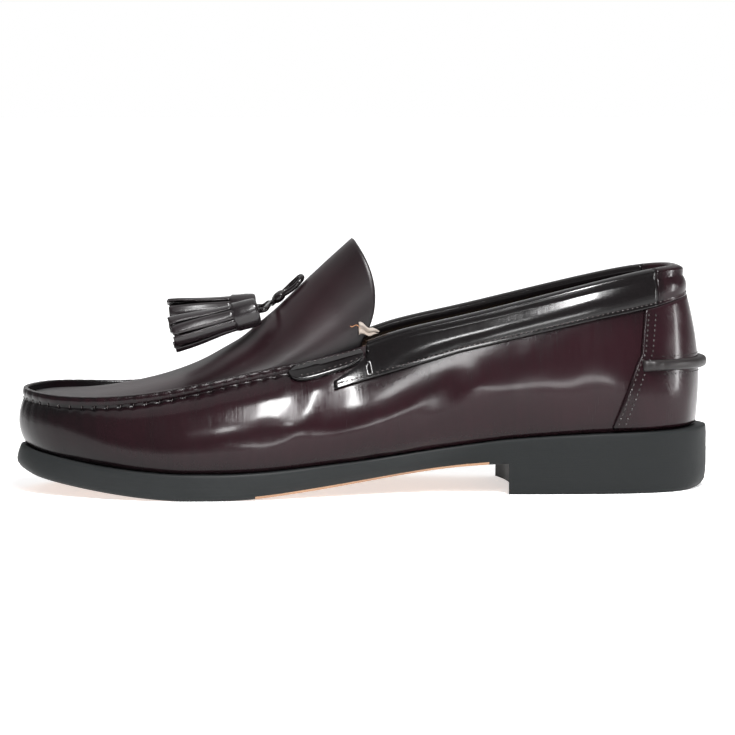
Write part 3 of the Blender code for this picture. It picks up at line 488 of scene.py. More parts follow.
def plugNormal(u, turn):
    u, turn = np.broadcast_arrays(np.asarray(u, float), np.asarray(turn, float))
    limit = math.pi / 2
    along = plugPoint(np.clip(u + 0.004, 0, 1), turn) - plugPoint(np.clip(u - 0.004, 0, 1), turn)
    right = plugPoint(u, np.clip(turn + 0.03, -limit, limit))
    left = plugPoint(u, np.clip(turn - 0.03, -limit, limit))
    normal = np.cross(right - left, along)
    return normal / np.maximum(np.linalg.norm(normal, axis=-1, keepdims=True), 1e-12)


# short forms for shader nodes
def addNode(tree, kind, sockets=None, **settings):
    node = tree.nodes.new(kind)
    for key, value in settings.items():
        setattr(node, key, value)
    for key, value in (sockets or {}).items():
        if isinstance(value, bpy.types.NodeSocket):
            tree.links.new(value, node.inputs[key])
        else:
            node.inputs[key].default_value = value
    return node


def mathNode(tree, operation, first, second=0.0, clamp=False):
    node = addNode(tree, "ShaderNodeMath", {0: first, 1: second}, operation=operation)
    node.use_clamp = clamp
    return node.outputs[0]


def scaleRun(tree, vector, scale):
    node = addNode(tree, "ShaderNodeVectorMath", {0: vector, 1: scale}, operation="MULTIPLY")
    return node.outputs[0]


def noiseNode(tree, vector, scale=1.0, detail=2.0, roughness=0.5):
    node = addNode(tree, "ShaderNodeTexNoise", {
        "Vector": vector, "Scale": scale, "Detail": detail, "Roughness": roughness,
    })
    return node.outputs[0]


def mixColour(tree, factor, first, second):
    node = addNode(tree, "ShaderNodeMix", {0: factor, 6: first, 7: second}, data_type="RGBA")
    return node.outputs[2]


def addScaled(tree, first, second, scale, clamp=False):
    return mathNode(tree, "ADD", first, mathNode(tree, "MULTIPLY", second, scale), clamp)


def offMiddle(tree, value, scale, middle=0.5, clamp=False):
    away = mathNode(tree, "SUBTRACT", value, middle)
    return mathNode(tree, "MULTIPLY", away, scale, clamp)


def newGroup(name, inputs, outputs):
    tree = bpy.data.node_groups.new(name, "ShaderNodeTree")
    for way, sockets in (("INPUT", inputs), ("OUTPUT", outputs)):
        for label, kind, value in sockets:
            socket = tree.interface.new_socket(label, in_out=way, socket_type="NodeSocket" + kind)
            if value is not None:
                socket.default_value = value
    given = tree.nodes.new("NodeGroupInput").outputs
    return tree, given, tree.nodes.new("NodeGroupOutput").inputs


def newMaterial(name):
    made = bpy.data.materials.new(name)
    made.use_nodes = True
    return made, made.node_tree, made.node_tree.nodes["Principled BSDF"]


# brushed leather: cloudy darkening, fine strokes across the panel, pores and slow waves
leatherGrain = {
    "strokeScale": (1500.0, 70.0, 1.0),
    "broadScale": (260.0, 28.0, 1.0),
    "cloudScale": 22.0,
    "cloudAmount": 1.3,
    "poreScale": 2400.0,
    "waveScale": 55.0,
    "grainDepth": 0.00010,
    "waveDepth": 0.0020,
    "leastRoughness": 0.05,
}


def makeLeatherGroup():
    look = leatherGrain
    tree, given, result = newGroup("brushedLeather", (
        ("Run", "Vector", None), ("Shade", "Float", 0.0), ("Strokes", "Float", 1.0),
        ("Waves", "Float", 1.0), ("Gloss", "Float", 0.2),
    ), (("Dark", "Float", None), ("Roughness", "Float", None), ("Normal", "Vector", None)))
    place = addNode(tree, "ShaderNodeTexCoord").outputs["Object"]
    strokes = noiseNode(tree, scaleRun(tree, given["Run"], look["strokeScale"]), 1.0, 3.0, 0.6)
    broad = noiseNode(tree, scaleRun(tree, given["Run"], look["broadScale"]), 1.0, 2.0)
    cloud = noiseNode(tree, place, look["cloudScale"], 3.0, 0.55)
    pores = noiseNode(tree, place, look["poreScale"], 1.0)
    waves = noiseNode(tree, place, look["waveScale"], 1.0, 0.4)
    strokesOff = offMiddle(tree, strokes, given["Strokes"])
    broadOff = offMiddle(tree, broad, given["Strokes"])
    cloudOff = offMiddle(tree, cloud, look["cloudAmount"])
    dark = mathNode(tree, "ADD", given["Shade"], cloudOff)
    dark = addScaled(tree, dark, broadOff, 0.5)
    dark = addScaled(tree, dark, strokesOff, 0.35, clamp=True)
    tree.links.new(dark, result["Dark"])
    rough = addScaled(tree, given["Gloss"], strokesOff, 0.30)
    rough = addScaled(tree, rough, broadOff, 0.12)
    rough = mathNode(tree, "MAXIMUM", rough, look["leastRoughness"])
    tree.links.new(rough, result["Roughness"])
    height = addScaled(tree, mathNode(tree, "MULTIPLY", strokesOff, 0.55), pores, 0.06)
    height = addScaled(tree, height, broadOff, 0.22)
    slow = mathNode(tree, "MULTIPLY", waves, given["Waves"])
    bump = addNode(tree, "ShaderNodeBump", {
        "Height": height, "Distance": look["grainDepth"], "Strength": 1.0,
    })
    wave = addNode(tree, "ShaderNodeBump", {
        "Height": slow, "Distance": look["waveDepth"], "Strength": 0.6, "Normal": bump.outputs[0],
    })
    tree.links.new(wave.outputs[0], result["Normal"])
    return tree


# painted sole edge: fine lines along the edge, soft blotches and specks
edgeGrain = {
    "lineScale": (28.0, 2300.0, 1.0),
    "blotchScale": 60.0,
    "speckScale": 1300.0,
    "roughness": 0.34,
    "roughnessSpread": 0.28,
    "shadeRoughness": 0.12,
    "specular": 0.15,
    "grainDepth": 0.00010,
}


def makeEdgeGroup():
    look = edgeGrain
    tree, given, result = newGroup("rubbedEdge", (("Run", "Vector", None),), (
        ("Tone", "Float", None), ("Roughness", "Float", None), ("Normal", "Vector", None),
    ))
    place = addNode(tree, "ShaderNodeTexCoord").outputs["Object"]
    lines = noiseNode(tree, scaleRun(tree, given["Run"], look["lineScale"]), 1.0, 3.0, 0.6)
    blotch = noiseNode(tree, place, look["blotchScale"], 3.0)
    specks = noiseNode(tree, place, look["speckScale"], 2.0)
    tone = addScaled(tree, mathNode(tree, "MULTIPLY", lines, 0.5), blotch, 0.5)
    tree.links.new(tone, result["Tone"])
    rough = addScaled(tree, look["roughness"], blotch, look["roughnessSpread"])
    tree.links.new(rough, result["Roughness"])
    height = addScaled(tree, mathNode(tree, "MULTIPLY", lines, 0.7), specks, 0.35)
    bump = addNode(tree, "ShaderNodeBump", {
        "Height": height, "Distance": look["grainDepth"], "Strength": 0.8,
    })
    tree.links.new(bump.outputs[0], result["Normal"])
    return tree


leatherGroup = makeLeatherGroup()
edgeGroup = makeEdgeGroup()

leatherLook = {
    "upper": {
        "light": (0.0140, 0.0044, 0.0064), "dark": (0.0036, 0.0027, 0.0031),
        "gloss": 0.21, "strokes": 1.0, "waves": 0.8,
        "coat": 0.19, "coatRoughness": 0.12, "specular": 0.12, "bias": 0.08,
    },
    "plug": {
        "light": (0.0135, 0.0050, 0.0068), "dark": (0.0046, 0.0036, 0.0040),
        "gloss": 0.36, "strokes": 0.25, "waves": 0.3,
        "coat": 0.12, "coatRoughness": 0.30, "specular": 0.21, "bias": 0.15,
    },
    "dark": {
        "light": (0.0062, 0.0046, 0.0050), "dark": (0.0030, 0.0027, 0.0029),
        "gloss": 0.18, "strokes": 0.5, "waves": 0.4,
        "coat": 0.28, "coatRoughness": 0.10, "specular": 0.16, "bias": 0.2,
    },
    "tassel": {
        "light": (0.0110, 0.0076, 0.0088), "dark": (0.0050, 0.0046, 0.0052),
        "gloss": 0.25, "strokes": 0.12, "waves": 0.6,
        "coat": 0.36, "coatRoughness": 0.20, "specular": 0.30, "bias": 0.2,
    },
    "strap": {
        "light": (0.0150, 0.0112, 0.0112), "dark": (0.0092, 0.0080, 0.0082),
        "gloss": 0.44, "strokes": 0.4, "waves": 0.4,
        "coat": 0.08, "coatRoughness": 0.25, "specular": 0.28, "bias": 0.25,
    },
}


def leather(name):
    look = leatherLook[name]
    made, tree, shader = newMaterial(name + "Leather")
    run = addNode(tree, "ShaderNodeUVMap", uv_map="run").outputs[0]
    # the shade attribute brings each piece's tone, and the painted shade laid on the upper and the
    # heel stay, into the leather's darkness
    shade = addNode(tree, "ShaderNodeAttribute", attribute_name="shade").outputs["Fac"]
    group = addNode(tree, "ShaderNodeGroup", node_tree=leatherGroup)
    tree.links.new(run, group.inputs["Run"])
    tree.links.new(mathNode(tree, "ADD", shade, look["bias"]), group.inputs["Shade"])
    for socket, key in (("Strokes", "strokes"), ("Waves", "waves"), ("Gloss", "gloss")):
        group.inputs[socket].default_value = look[key]
    colour = mixColour(tree, group.outputs["Dark"], (*look["light"], 1.0), (*look["dark"], 1.0))
    tree.links.new(colour, shader.inputs["Base Color"])
    tree.links.new(group.outputs["Roughness"], shader.inputs["Roughness"])
    tree.links.new(group.outputs["Normal"], shader.inputs["Normal"])
    shader.inputs["Specular IOR Level"].default_value = look["specular"]
    shader.inputs["Coat Weight"].default_value = look["coat"]
    shader.inputs["Coat Roughness"].default_value = look["coatRoughness"]
    return made


def plainLeather(name, light, dark, roughness, grain):
    made, tree, shader = newMaterial(name)
    place = addNode(tree, "ShaderNodeTexCoord").outputs["Object"]
    cloud = noiseNode(tree, place, 45.0, 4.0, 0.6)
    pores = noiseNode(tree, place, grain, 2.0)
    tone = offMiddle(tree, cloud, 2.2, 0.3, clamp=True)
    colour = mixColour(tree, tone, (*light, 1.0), (*dark, 1.0))
    tree.links.new(colour, shader.inputs["Base Color"])
    tree.links.new(addScaled(tree, roughness, pores, 0.15), shader.inputs["Roughness"])
    bump = addNode(tree, "ShaderNodeBump", {"Height": pores, "Distance": 0.0002, "Strength": 0.5})
    tree.links.new(bump.outputs[0], shader.inputs["Normal"])
    return made


def edgePaint(name, light, dark):
    made, tree, shader = newMaterial(name)
    run = addNode(tree, "ShaderNodeUVMap", uv_map="run").outputs[0]
    group = addNode(tree, "ShaderNodeGroup", node_tree=edgeGroup)
    tree.links.new(run, group.inputs["Run"])
    # painted shade: the shade attribute darkens the painted edge, for the sole's edge towards the
    # heel and for the heel block
    shade = addNode(tree, "ShaderNodeAttribute", attribute_name="shade").outputs["Fac"]
    plain = mixColour(tree, group.outputs["Tone"], (*dark, 1.0), (*light, 1.0))
    colour = mixColour(tree, shade, plain, (*dark, 1.0))
    tree.links.new(colour, shader.inputs["Base Color"])
    rough = addScaled(tree, group.outputs["Roughness"], shade, edgeGrain["shadeRoughness"])
    tree.links.new(rough, shader.inputs["Roughness"])
    tree.links.new(group.outputs["Normal"], shader.inputs["Normal"])
    shader.inputs["Specular IOR Level"].default_value = edgeGrain["specular"]
    return made


# each plain leather, cloth and thread: light colour, dark colour, roughness, grain
plainLook = {
    "liningLeather": ((0.050, 0.030, 0.024), (0.025, 0.016, 0.014), 0.55, 900.0),
    "tongueLining": ((0.46, 0.33, 0.25), (0.34, 0.23, 0.17), 0.6, 900.0),
    "scrapCloth": ((0.26, 0.19, 0.14), (0.34, 0.31, 0.28), 0.7, 900.0),
    "insoleLeather": ((0.40, 0.27, 0.17), (0.27, 0.17, 0.10), 0.55, 700.0),
    "soleLeather": ((0.40, 0.23, 0.13), (0.26, 0.14, 0.08), 0.5, 500.0),
    "threadDark": ((0.040, 0.031, 0.031), (0.018, 0.014, 0.014), 0.16, 3000.0),
    "threadTan": ((0.50, 0.24, 0.10), (0.36, 0.16, 0.07), 0.6, 3000.0),
}

upperLeather = leather("upper")
plugLeather = leather("plug")
darkLeather = leather("dark")
strapLeather = leather("strap")
tasselLeather = leather("tassel")
liningLeather = plainLeather("liningLeather", *plainLook["liningLeather"])
tongueLining = plainLeather("tongueLining", *plainLook["tongueLining"])
scrapCloth = plainLeather("scrapCloth", *plainLook["scrapCloth"])
insoleLeather = plainLeather("insoleLeather", *plainLook["insoleLeather"])
soleLeather = plainLeather("soleLeather", *plainLook["soleLeather"])
threadDark = plainLeather("threadDark", *plainLook["threadDark"])
threadTan = plainLeather("threadTan", *plainLook["threadTan"])
edgeSlate = edgePaint("edgeSlate", (0.0215, 0.0232, 0.0238), (0.0090, 0.0102, 0.0106))
print("materials made")


mergeWithin = 0.0000005
sharpAngle = math.radians(60)


# a closed piece from rings of points: run holds its lengths, slots the material of each face
def piece(name, rings, run, materials, slots=None, loop=False, shade=None, sharp=False):
    rings = np.asarray(rings, float)
    run = np.asarray(run, float)
    shade = np.zeros(rings.shape[:2]) if shade is None else np.asarray(shade, float)
    step = run[:, 1:2] - run[:, 0:1]
    rings = np.concatenate([rings, rings[:, :1]], axis=1)
    run = np.concatenate([run, run[:, -1:] + step], axis=1)
    shade = np.concatenate([shade, shade[:, :1]], axis=1)
    if loop:
        stride = run[1:2] - run[0:1]
        rings = np.concatenate([rings, rings[:1]])
        run = np.concatenate([run, run[-1:] + stride])
        shade = np.concatenate([shade, shade[:1]])
    rows, columns = rings.shape[0] - 1, rings.shape[1] - 1
    mesh = bmesh.new()
    bmesh.ops.create_grid(mesh, x_segments=rows, y_segments=columns, size=1.0, calc_uvs=False)
    data = bpy.data.meshes.new(name)
    mesh.to_mesh(data)
    mesh.free()
    flat = np.empty(len(data.vertices) * 3)
    data.vertices.foreach_get("co", flat)
    flat = flat.reshape(-1, 3)
    i = np.rint((flat[:, 0] + 1) / 2 * rows).astype(int)
    j = np.rint((flat[:, 1] + 1) / 2 * columns).astype(int)
    data.vertices.foreach_set("co", rings[i, j].ravel())
    corners = np.empty(len(data.loops), dtype=np.int32)
    data.loops.foreach_get("vertex_index", corners)
    layer = data.uv_layers.new(name="run")
    layer.data.foreach_set("uv", run[i[corners], j[corners]].ravel())
    depth = data.attributes.new("shade", "FLOAT", "POINT")
    depth.data.foreach_set("value", shade[i, j])
    if slots is not None:
        row, column = (np.min(side[corners].reshape(-1, 4), axis=1) for side in (i, j))
        data.polygons.foreach_set("material_index", np.asarray(slots)[row, column].astype(np.int32))
    mesh = bmesh.new()
    mesh.from_mesh(data)
    bmesh.ops.remove_doubles(mesh, verts=mesh.verts, dist=mergeWithin)
    bmesh.ops.dissolve_degenerate(mesh, edges=mesh.edges, dist=mergeWithin)
    rim = [edge for edge in mesh.edges if edge.is_boundary]
    if rim:
        bmesh.ops.holes_fill(mesh, edges=rim, sides=0)
    if sharp:
        for edge in mesh.edges:
            edge.smooth = edge.calc_face_angle(0.0) < sharpAngle
    return finishPiece(name, mesh, data, materials)


def finishPiece(name, mesh, data, materials):
    bmesh.ops.recalc_face_normals(mesh, faces=mesh.faces)
    if mesh.calc_volume(signed=True) < 0:
        bmesh.ops.reverse_faces(mesh, faces=mesh.faces)
    for face in mesh.faces:
        face.smooth = True
    mesh.to_mesh(data)
    mesh.free()
    for made in materials:
        data.materials.append(made)
    thing = addThing(name, data)
    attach(thing, "root")
    return thing


def pathLength(points):
    reach = np.linalg.norm(np.diff(points, axis=0), axis=-1)
    return np.concatenate([np.zeros_like(reach[:1]), np.cumsum(reach, axis=0)])


def rowRun(points):
    return np.concatenate([[0], np.cumsum(np.linalg.norm(np.diff(points, axis=0), axis=-1))])


def evenShares(count):
    reach = pathLength(np.column_stack([outlineAt(dense), np.zeros(len(dense))]))
    return np.interp(np.linspace(0, reach[-1], count + 1)[:-1], reach, dense)


def bell(value, centre, width):
    return np.exp(-((value - centre) / width) ** 2)


# soft folds in the side panel, in metres: side, two ends (distance from the heel, height),
# width, depth
sideFolds = {
    "waistFold": ("medial", (0.141, 0.020), (0.110, 0.042), 0.0050, 0.00055),
    "waistRise": ("medial", (0.130, 0.024), (0.100, 0.047), 0.0060, -0.00035),
    "flexHollow": ("medial", (0.186, 0.028), (0.176, 0.040), 0.0080, 0.00045),
    "flexCrest": ("medial", (0.174, 0.030), (0.166, 0.044), 0.0050, -0.00040),
    "tabHollow": ("medial", (0.158, 0.036), (0.150, 0.043), 0.0060, 0.00035),
    "heelHollow": ("medial", (0.060, 0.050), (0.046, 0.034), 0.0080, 0.00030),
    "outerFlex": ("lateral", (0.188, 0.026), (0.172, 0.042), 0.0080, 0.00050),
    "outerCrest": ("lateral", (0.174, 0.026), (0.162, 0.044), 0.0060, -0.00040),
    "outerWaist": ("lateral", (0.140, 0.024), (0.112, 0.044), 0.0060, 0.00040),
}


def foldDepth(point):
    along = alongOf(point[..., 0]) * shoe["soleLength"]
    depth = np.zeros(along.shape)
    for side, first, second, width, amount in sideFolds.values():
        sign = -1.0 if side == "medial" else 1.0
        first, second = np.array(first), np.array(second)
        line = second - first
        away = np.stack([along, point[..., 2]], axis=-1) - first
        share = np.clip((away @ line) / (line @ line), 0, 1)
        distance = np.linalg.norm(away - share[..., None] * line, axis=-1)
        onSide = point[..., 1] * sign > 0.005
        depth += np.where(onSide, amount * np.exp(-(distance / width) ** 2), 0)
    return depth


# the raised moccasin seam, measured down from the upper's rim
seamLook = {
    "pitch": 0.0054,
    "bead": 0.00050,
    "beadDepth": 0.0019,
    "beadWidth": 0.0014,
    "groove": 0.00030,
    "grooveDepth": 0.0042,
    "grooveWidth": 0.0008,
    "pucker": 0.00042,
    "puckerReach": 0.0040,
    "threadLength": 0.0018,
    "threadRadius": 0.00028,
}
upperLook = {
    "around": 1040,
    "lipRows": 14,
    "wallRows": 40,
    "wallShare": 0.62,
    "rimRise": 0.0006,
    "vampFrom": 0.515,
}


def buildUpper():
    look, seam = upperLook, seamLook
    p = evenShares(look["around"])[:, None]
    half, bend, lip = look["wallRows"] // 2, look["wallShare"], shoe["lipShare"]
    v = np.concatenate([
        np.linspace(0, bend, half), np.linspace(bend, lip, half + 1)[1:],
        np.linspace(lip, 1.0, look["lipRows"] + 1)[1:],
    ])[None, :]
    outer = wallPoint(p, v)
    normal = wallNormal(p, v)
    reach = np.linalg.norm(np.diff(outer, axis=1), axis=-1)
    below = np.cumsum(reach[:, ::-1], axis=1)[:, ::-1]
    below = np.concatenate([below, np.zeros((outer.shape[0], 1))], axis=1)
    top = outer[:, -1]
    ahead = np.linalg.norm(np.diff(np.vstack([top, top[:1]]), axis=0), axis=-1)
    along = np.concatenate([[0], np.cumsum(ahead)[:-1]])[:, None]
    topAlong = alongOf(top[:, 0])[:, None]
    vamp = smooth((topAlong - look["vampFrom"]) / 0.03)
    phase = np.mod(along / seam["pitch"], 1.0) - 0.5
    uneven = 0.72 + 0.16 * np.sin(along * 410 + 1.0) + 0.14 * np.sin(along * 173)
    uneven = uneven + 0.10 * np.sin(along * 977)
    tuck = bell(phase, 0, 0.17) * uneven
    broad = bell(phase, 0, 0.24) * uneven
    depth = seam["grooveDepth"]
    shape = seam["bead"] * bell(below, seam["beadDepth"], seam["beadWidth"]) * (1.0 - 0.45 * tuck)
    shape -= seam["groove"] * bell(below, depth, seam["grooveWidth"]) * (0.55 + 0.45 * broad)
    tail = np.exp(-np.clip(below - depth, 0, 1) / seam["puckerReach"]) * (below > depth * 0.9)
    shape -= seam["pucker"] * (broad - 0.3) * tail
    shape = shape * vamp - foldDepth(outer)
    fade = smooth(below / 0.0006)
    outer = outer + normal * (shape * np.maximum(fade, 0.3))[..., None]
    outer[..., 2] -= 0.00010 * tuck * vamp * bell(below, 0, 0.0016)
    inner = wallPoint(p, v) - normal * shoe["wall"]
    foot = ledgePoint(p[:, 0], sectionsAt(p[:, 0])[:, 0] + shoe["wall"])
    inner[:, 0, :2] = foot
    inner[:, 0, 2] = soleTop(alongOf(foot[:, 0])) + shoe["gap"]
    thin = np.unique(np.concatenate([np.arange(0, outer.shape[1], 3), [outer.shape[1] - 1]]))
    inner = inner[:, thin]
    rimNormal = topNormal(p[:, 0])
    middle = outer[:, -1] - rimNormal * shoe["wall"] / 2
    rim = []
    lift = np.array([0, 0, look["rimRise"]])
    for angle in np.radians((35, 65, 90, 115, 145)):
        rim.append(middle + rimNormal * shoe["wall"] / 2 * math.cos(angle)
                   + lift * (math.sin(angle) - 0.55) * vamp)
    rings = np.concatenate([outer, np.stack(rim, axis=1), inner[:, ::-1]], axis=1)
    wide = np.broadcast_to(along, rings.shape[:2])
    tall = np.concatenate([below, np.zeros((len(p), len(rim))), below[:, thin[::-1]]], axis=1)
    run = np.stack([wide, tall], axis=-1)
    # painted shade: the shade attribute darkens the panel just below the seam's groove, in the
    # pucker troughs, next to the sole and under the collar's lower edge; it also grows darker
    # towards the toe, and the rim and inner faces are darker
    height = below[:, :1] - below
    lower = lineOf(form["collarLine"])(alongOf(outer[..., 0]))
    collarShade = np.exp(-np.clip(lower - outer[..., 2], 0, 1) / 0.006) * (1 - vamp)
    shade = 0.75 * vamp * np.exp(-np.clip(below - 0.0038, 0, 1) / 0.0045)
    shade += 0.55 * np.exp(-height / 0.005)
    shade += 0.5 * collarShade + 0.45 * smooth((alongOf(outer[..., 0]) - 0.80) / 0.2)
    # on the seam's ridge the top edge is darker, and the dips of the tucks get painted shade
    ridgeShade = 0.42 + 0.25 * (below < 0.0004) + 0.4 * tuck
    shade = np.where(below < 0.0034, ridgeShade * vamp, shade + 0.25 * broad * tail * vamp)
    shade = [shade, np.full((len(p), len(rim)), 0.5), np.full(inner.shape[:2], 0.8)]
    shade = np.concatenate(shade, axis=1)
    slots = np.zeros(rings.shape[:2], int)
    inside = outer.shape[1] + len(rim)
    slots[:, inside:] = 1
    turned = (tall[:, inside:] < 0.012) & (vamp > 0.5)
    slots[:, inside:][turned] = 0
    skin = piece("upperSkin", rings, run, [upperLeather, liningLeather], slots, loop=True,
                 shade=shade)
    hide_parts("upper")


plugLook = {"rows": 170, "across": 91, "foldDepth": 0.00025}
# flex folds across the tongue: distance from the heel, width, curve to the sides, share of depth
plugFolds = ((0.196, 0.0045, 0.006, 1.0), (0.205, 0.005, 0.006, -0.7), (0.183, 0.004, 0.010, 0.6))


def buildPlug():
    look = plugLook
    u = np.concatenate([[0, 0.004, 0.010, 0.018], np.linspace(0.028, 1, look["rows"])])[:, None]
    turn = np.radians(np.linspace(-90, 90, look["across"]))[None, :]
    outer = plugPoint(u, turn)
    normal = plugNormal(u, turn)
    middle = (outer[:, :1] + outer[:, -1:]) / 2 - np.array([0, 0, 0.012])
    facing = np.sum(normal * (outer - middle), axis=-1, keepdims=True)
    normal = np.where(facing < 0, -normal, normal)
    crest = plugPoint(u, np.zeros_like(u))[:, :1]
    side = np.abs(np.sin(turn))
    along = alongOf(outer[..., 0]) * shoe["soleLength"]
    fold = sum(share * bell(along + curve * side, at, width)
               for at, width, curve, share in plugFolds)
    outer = outer - normal * (look["foldDepth"] * fold * (1 - side ** 6))[..., None]
    down = normal.copy()
    down[:, (0, -1)] = (0, 0, 1)
    down[0] = (0, 0, 1)
    thick = shoe["plugWall"]
    inner = outer - down * thick
    rows = [np.concatenate([outer, inner[:, ::-1]], axis=1)]
    for share, out in ((0.14, 0.0003), (0.34, 0.0005), (0.5, 0.00055)):
        push = np.array([out, 0, 0])
        high = outer[-1] - down[-1] * thick * share + push
        low = outer[-1] - down[-1] * thick * (1 - share) + push
        rows.append(np.concatenate([high, low[::-1]])[None])
    rings = np.concatenate(rows)
    lengths = rowRun(crest[:, 0])
    lengths = np.concatenate([lengths, lengths[-1] + np.array([0.0003, 0.0006, 0.0009])])
    acrossRun = np.linalg.norm(np.diff(outer, axis=1), axis=-1)
    acrossRun = np.concatenate([np.zeros((len(u), 1)), np.cumsum(acrossRun, axis=1)], axis=1)
    acrossRun = np.concatenate([acrossRun, np.repeat(acrossRun[-1:], 3, axis=0)])
    acrossRun = np.concatenate([acrossRun, acrossRun[:, ::-1]], axis=1)
    run = np.stack([acrossRun, np.broadcast_to(lengths[:, None], acrossRun.shape)], axis=-1)
    near = acrossRun[:, :look["across"]]
    edge = np.minimum(near, near[:, -1:] - near)
    shade = 0.75 * np.exp(-edge / 0.006)
    shade += 0.6 * smooth((lengths[:, None] - lengths[-1] + 0.030) / 0.03) * 0.8
    shade += 0.35 * smooth((0.06 - lengths[:, None]) / 0.05)
    shade = np.concatenate([shade, shade[:, ::-1]], axis=1)
    slots = np.zeros(rings.shape[:2], int)
    slots[:, look["across"]:] = 1
    skin = piece("plugSkin", rings, run, [plugLeather, tongueLining], slots, shade=shade)
    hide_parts("plug")


# the padded collar: its swell rises from the stitched margin to the bend and falls to the topline
collarLook = {
    "step": 0.0016,
    "length": 0.125,
    "rows": 24,
    "swell": 0.0011,
    "bendAt": 0.64,
    "margin": 0.0014,
    "atTop": 0.5,
    "joint": (0.084, 0.93),
    "backJoint": (0.0832, 0.93),
    "hookEnd": (0.499, 0.64),
    "front": (0.547, 0.51),
}
# how far an overlay's back stays off the wall, and the steps down a cut end
seat = 0.00005
collarRim = np.linspace(0, 1, 17)[1:-1]


def collarRing(p, low, top=None, fullness=1.0):
    near, far = seat, shoe["gap"] + shoe["overlay"]
    count = collarLook["rows"]
    high = shoe["lipShare"] if top is None else top
    vs = low + (high - low) * np.linspace(0, 1, count)
    ps = np.full(count, p)
    face = overWall(ps, vs, np.full(count, far))
    normal = wallNormal(ps, vs)
    reach = pathLength(face)
    share, bend = reach / reach[-1], collarLook["bendAt"]
    margin, atTop = collarLook["margin"], collarLook["atTop"]
    rise = np.clip((reach - margin) / (bend * reach[-1] - margin), 0, 1)
    rise = np.sin(rise * math.pi / 2)
    fall = 1 - (1 - atTop) * np.clip((share - bend) / (1 - bend), 0, 1) ** 2
    face = face + normal * (collarLook["swell"] * fullness * rise ** 0.9 * fall)[:, None]
    edge = overWall(ps[:1], vs[:1], np.full(1, far * 0.55))[0] - np.array([0, 0, 0.00025])
    under = overWall(ps, vs, np.full(count, near))[::-1]
    if top is not None:
        rim = [face[-1] + (under[0] - face[-1]) * share for share in collarRim]
        return np.vstack([[edge], face, rim, under])
    crown = wallPoint(p, 1.0)
    out = topNormal(p)
    up = np.array([0.0, 0.0, 1.0])
    centre = crown - out * shoe["wall"] / 2 - up * 0.0002
    radius = shoe["wall"] / 2 + far + 0.0002
    hook = []
    for angle in np.radians((4, 16, 28, 40, 52, 64, 80, 98, 118, 140, 165)):
        swell = collarLook["swell"] * fullness * atTop * max(math.cos(angle), 0)
        hook.append(centre + out * (radius * math.cos(angle) + swell)
                    + up * (0.0019 * max(math.sin(angle), -0.6)))
    hook.append(crown - out * (shoe["wall"] + far) - up * 0.0016)
    hook.append(crown - out * (shoe["wall"] + far * 0.8) - up * 0.0030)
    hook.append(crown - out * (shoe["wall"] - 0.0001) - up * 0.0032)
    hook.append(crown - out * (shoe["wall"] * 0.5) - up * 0.0004)
    return np.vstack([[edge], face, hook, under])


def ringsToRun(rings):
    rings = np.asarray(rings)
    wide = pathLength(rings[:, 2])
    reach = np.cumsum(np.linalg.norm(np.diff(rings, axis=1), axis=-1), axis=1)
    tall = np.concatenate([np.zeros((len(rings), 1)), reach], axis=1)
    return np.stack([np.broadcast_to(wide[:, None], tall.shape), tall], axis=-1)


# each row of stitches: points, normals, pitch, length of a stitch, radius of the thread
stitchRows = []
stitchLook = {
    "collar": (0.0022, 0.0014, 0.00034),
    "collarBack": (0.0020, 0.0012, 0.00032),
    "collarEnd": (0.0019, 0.0012, 0.00024),
    "stay": (0.0022, 0.0014, 0.00040),
    "strap": (0.0021, 0.0013, 0.00026),
    "tab": (0.0024, 0.0014, 0.00028),
}


def sew(kind, p, v, lift):
    line = overWall(p, v, np.full(len(p), lift))
    stitchRows.append((line, wallNormal(p, v), *stitchLook[kind]))


def shareOnWall(side, place):
    return float(findOnWall(side, place[0], place[1] * shoe["toplineHeight"])[0])


def buildCollar(side):
    lower = lineOf(form["collarLine"])
    shoulder = lineOf(form["collarShoulder"])
    places = (collarLook[key] for key in ("joint", "hookEnd", "front"))
    joint, hookEnd, front = (shareOnWall(side, place) for place in places)
    hooked = np.linspace(joint, hookEnd, int(collarLook["length"] / collarLook["step"]))
    ahead = 1.0 if front > hookEnd else -1.0
    flat = np.concatenate([[hookEnd + ahead * 0.00002], np.linspace(hookEnd, front, 12)[1:]])
    fullness = 0.2 + 0.8 * smooth(np.abs(hooked - hookEnd) / abs(joint - hookEnd) * 4)
    lows = solveHeight(hooked, lower)
    rings = [collarRing(p, low, None, full) for p, low, full in zip(hooked, lows, fullness)]
    tops = solveHeight(flat, shoulder)
    lows = solveHeight(flat, lower)
    rings += [collarRing(p, low, top, 0.2) for p, low, top in zip(flat, lows, tops)]
    rings = np.array(rings)
    shade = np.full(rings.shape[:2], 0.4)
    skin = piece("collarBand_" + side, rings, ringsToRun(rings), [darkLeather], shade=shade)
    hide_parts("collar_" + side)
    far = shoe["gap"] + shoe["overlay"] + seat
    ps = np.linspace(joint, front, 160)
    sew("collar", ps, solveHeight(ps, lambda a: lower(a) + 0.0013), far)
    ps = np.full(8, front - ahead * 0.0016)
    bottom = float(solveHeight(ps[0], lambda a: lower(a) + 0.0013))
    top = float(solveHeight(ps[0], lambda a: shoulder(a) - 0.0012))
    sew("collar", ps, np.linspace(bottom, top, 8), far)


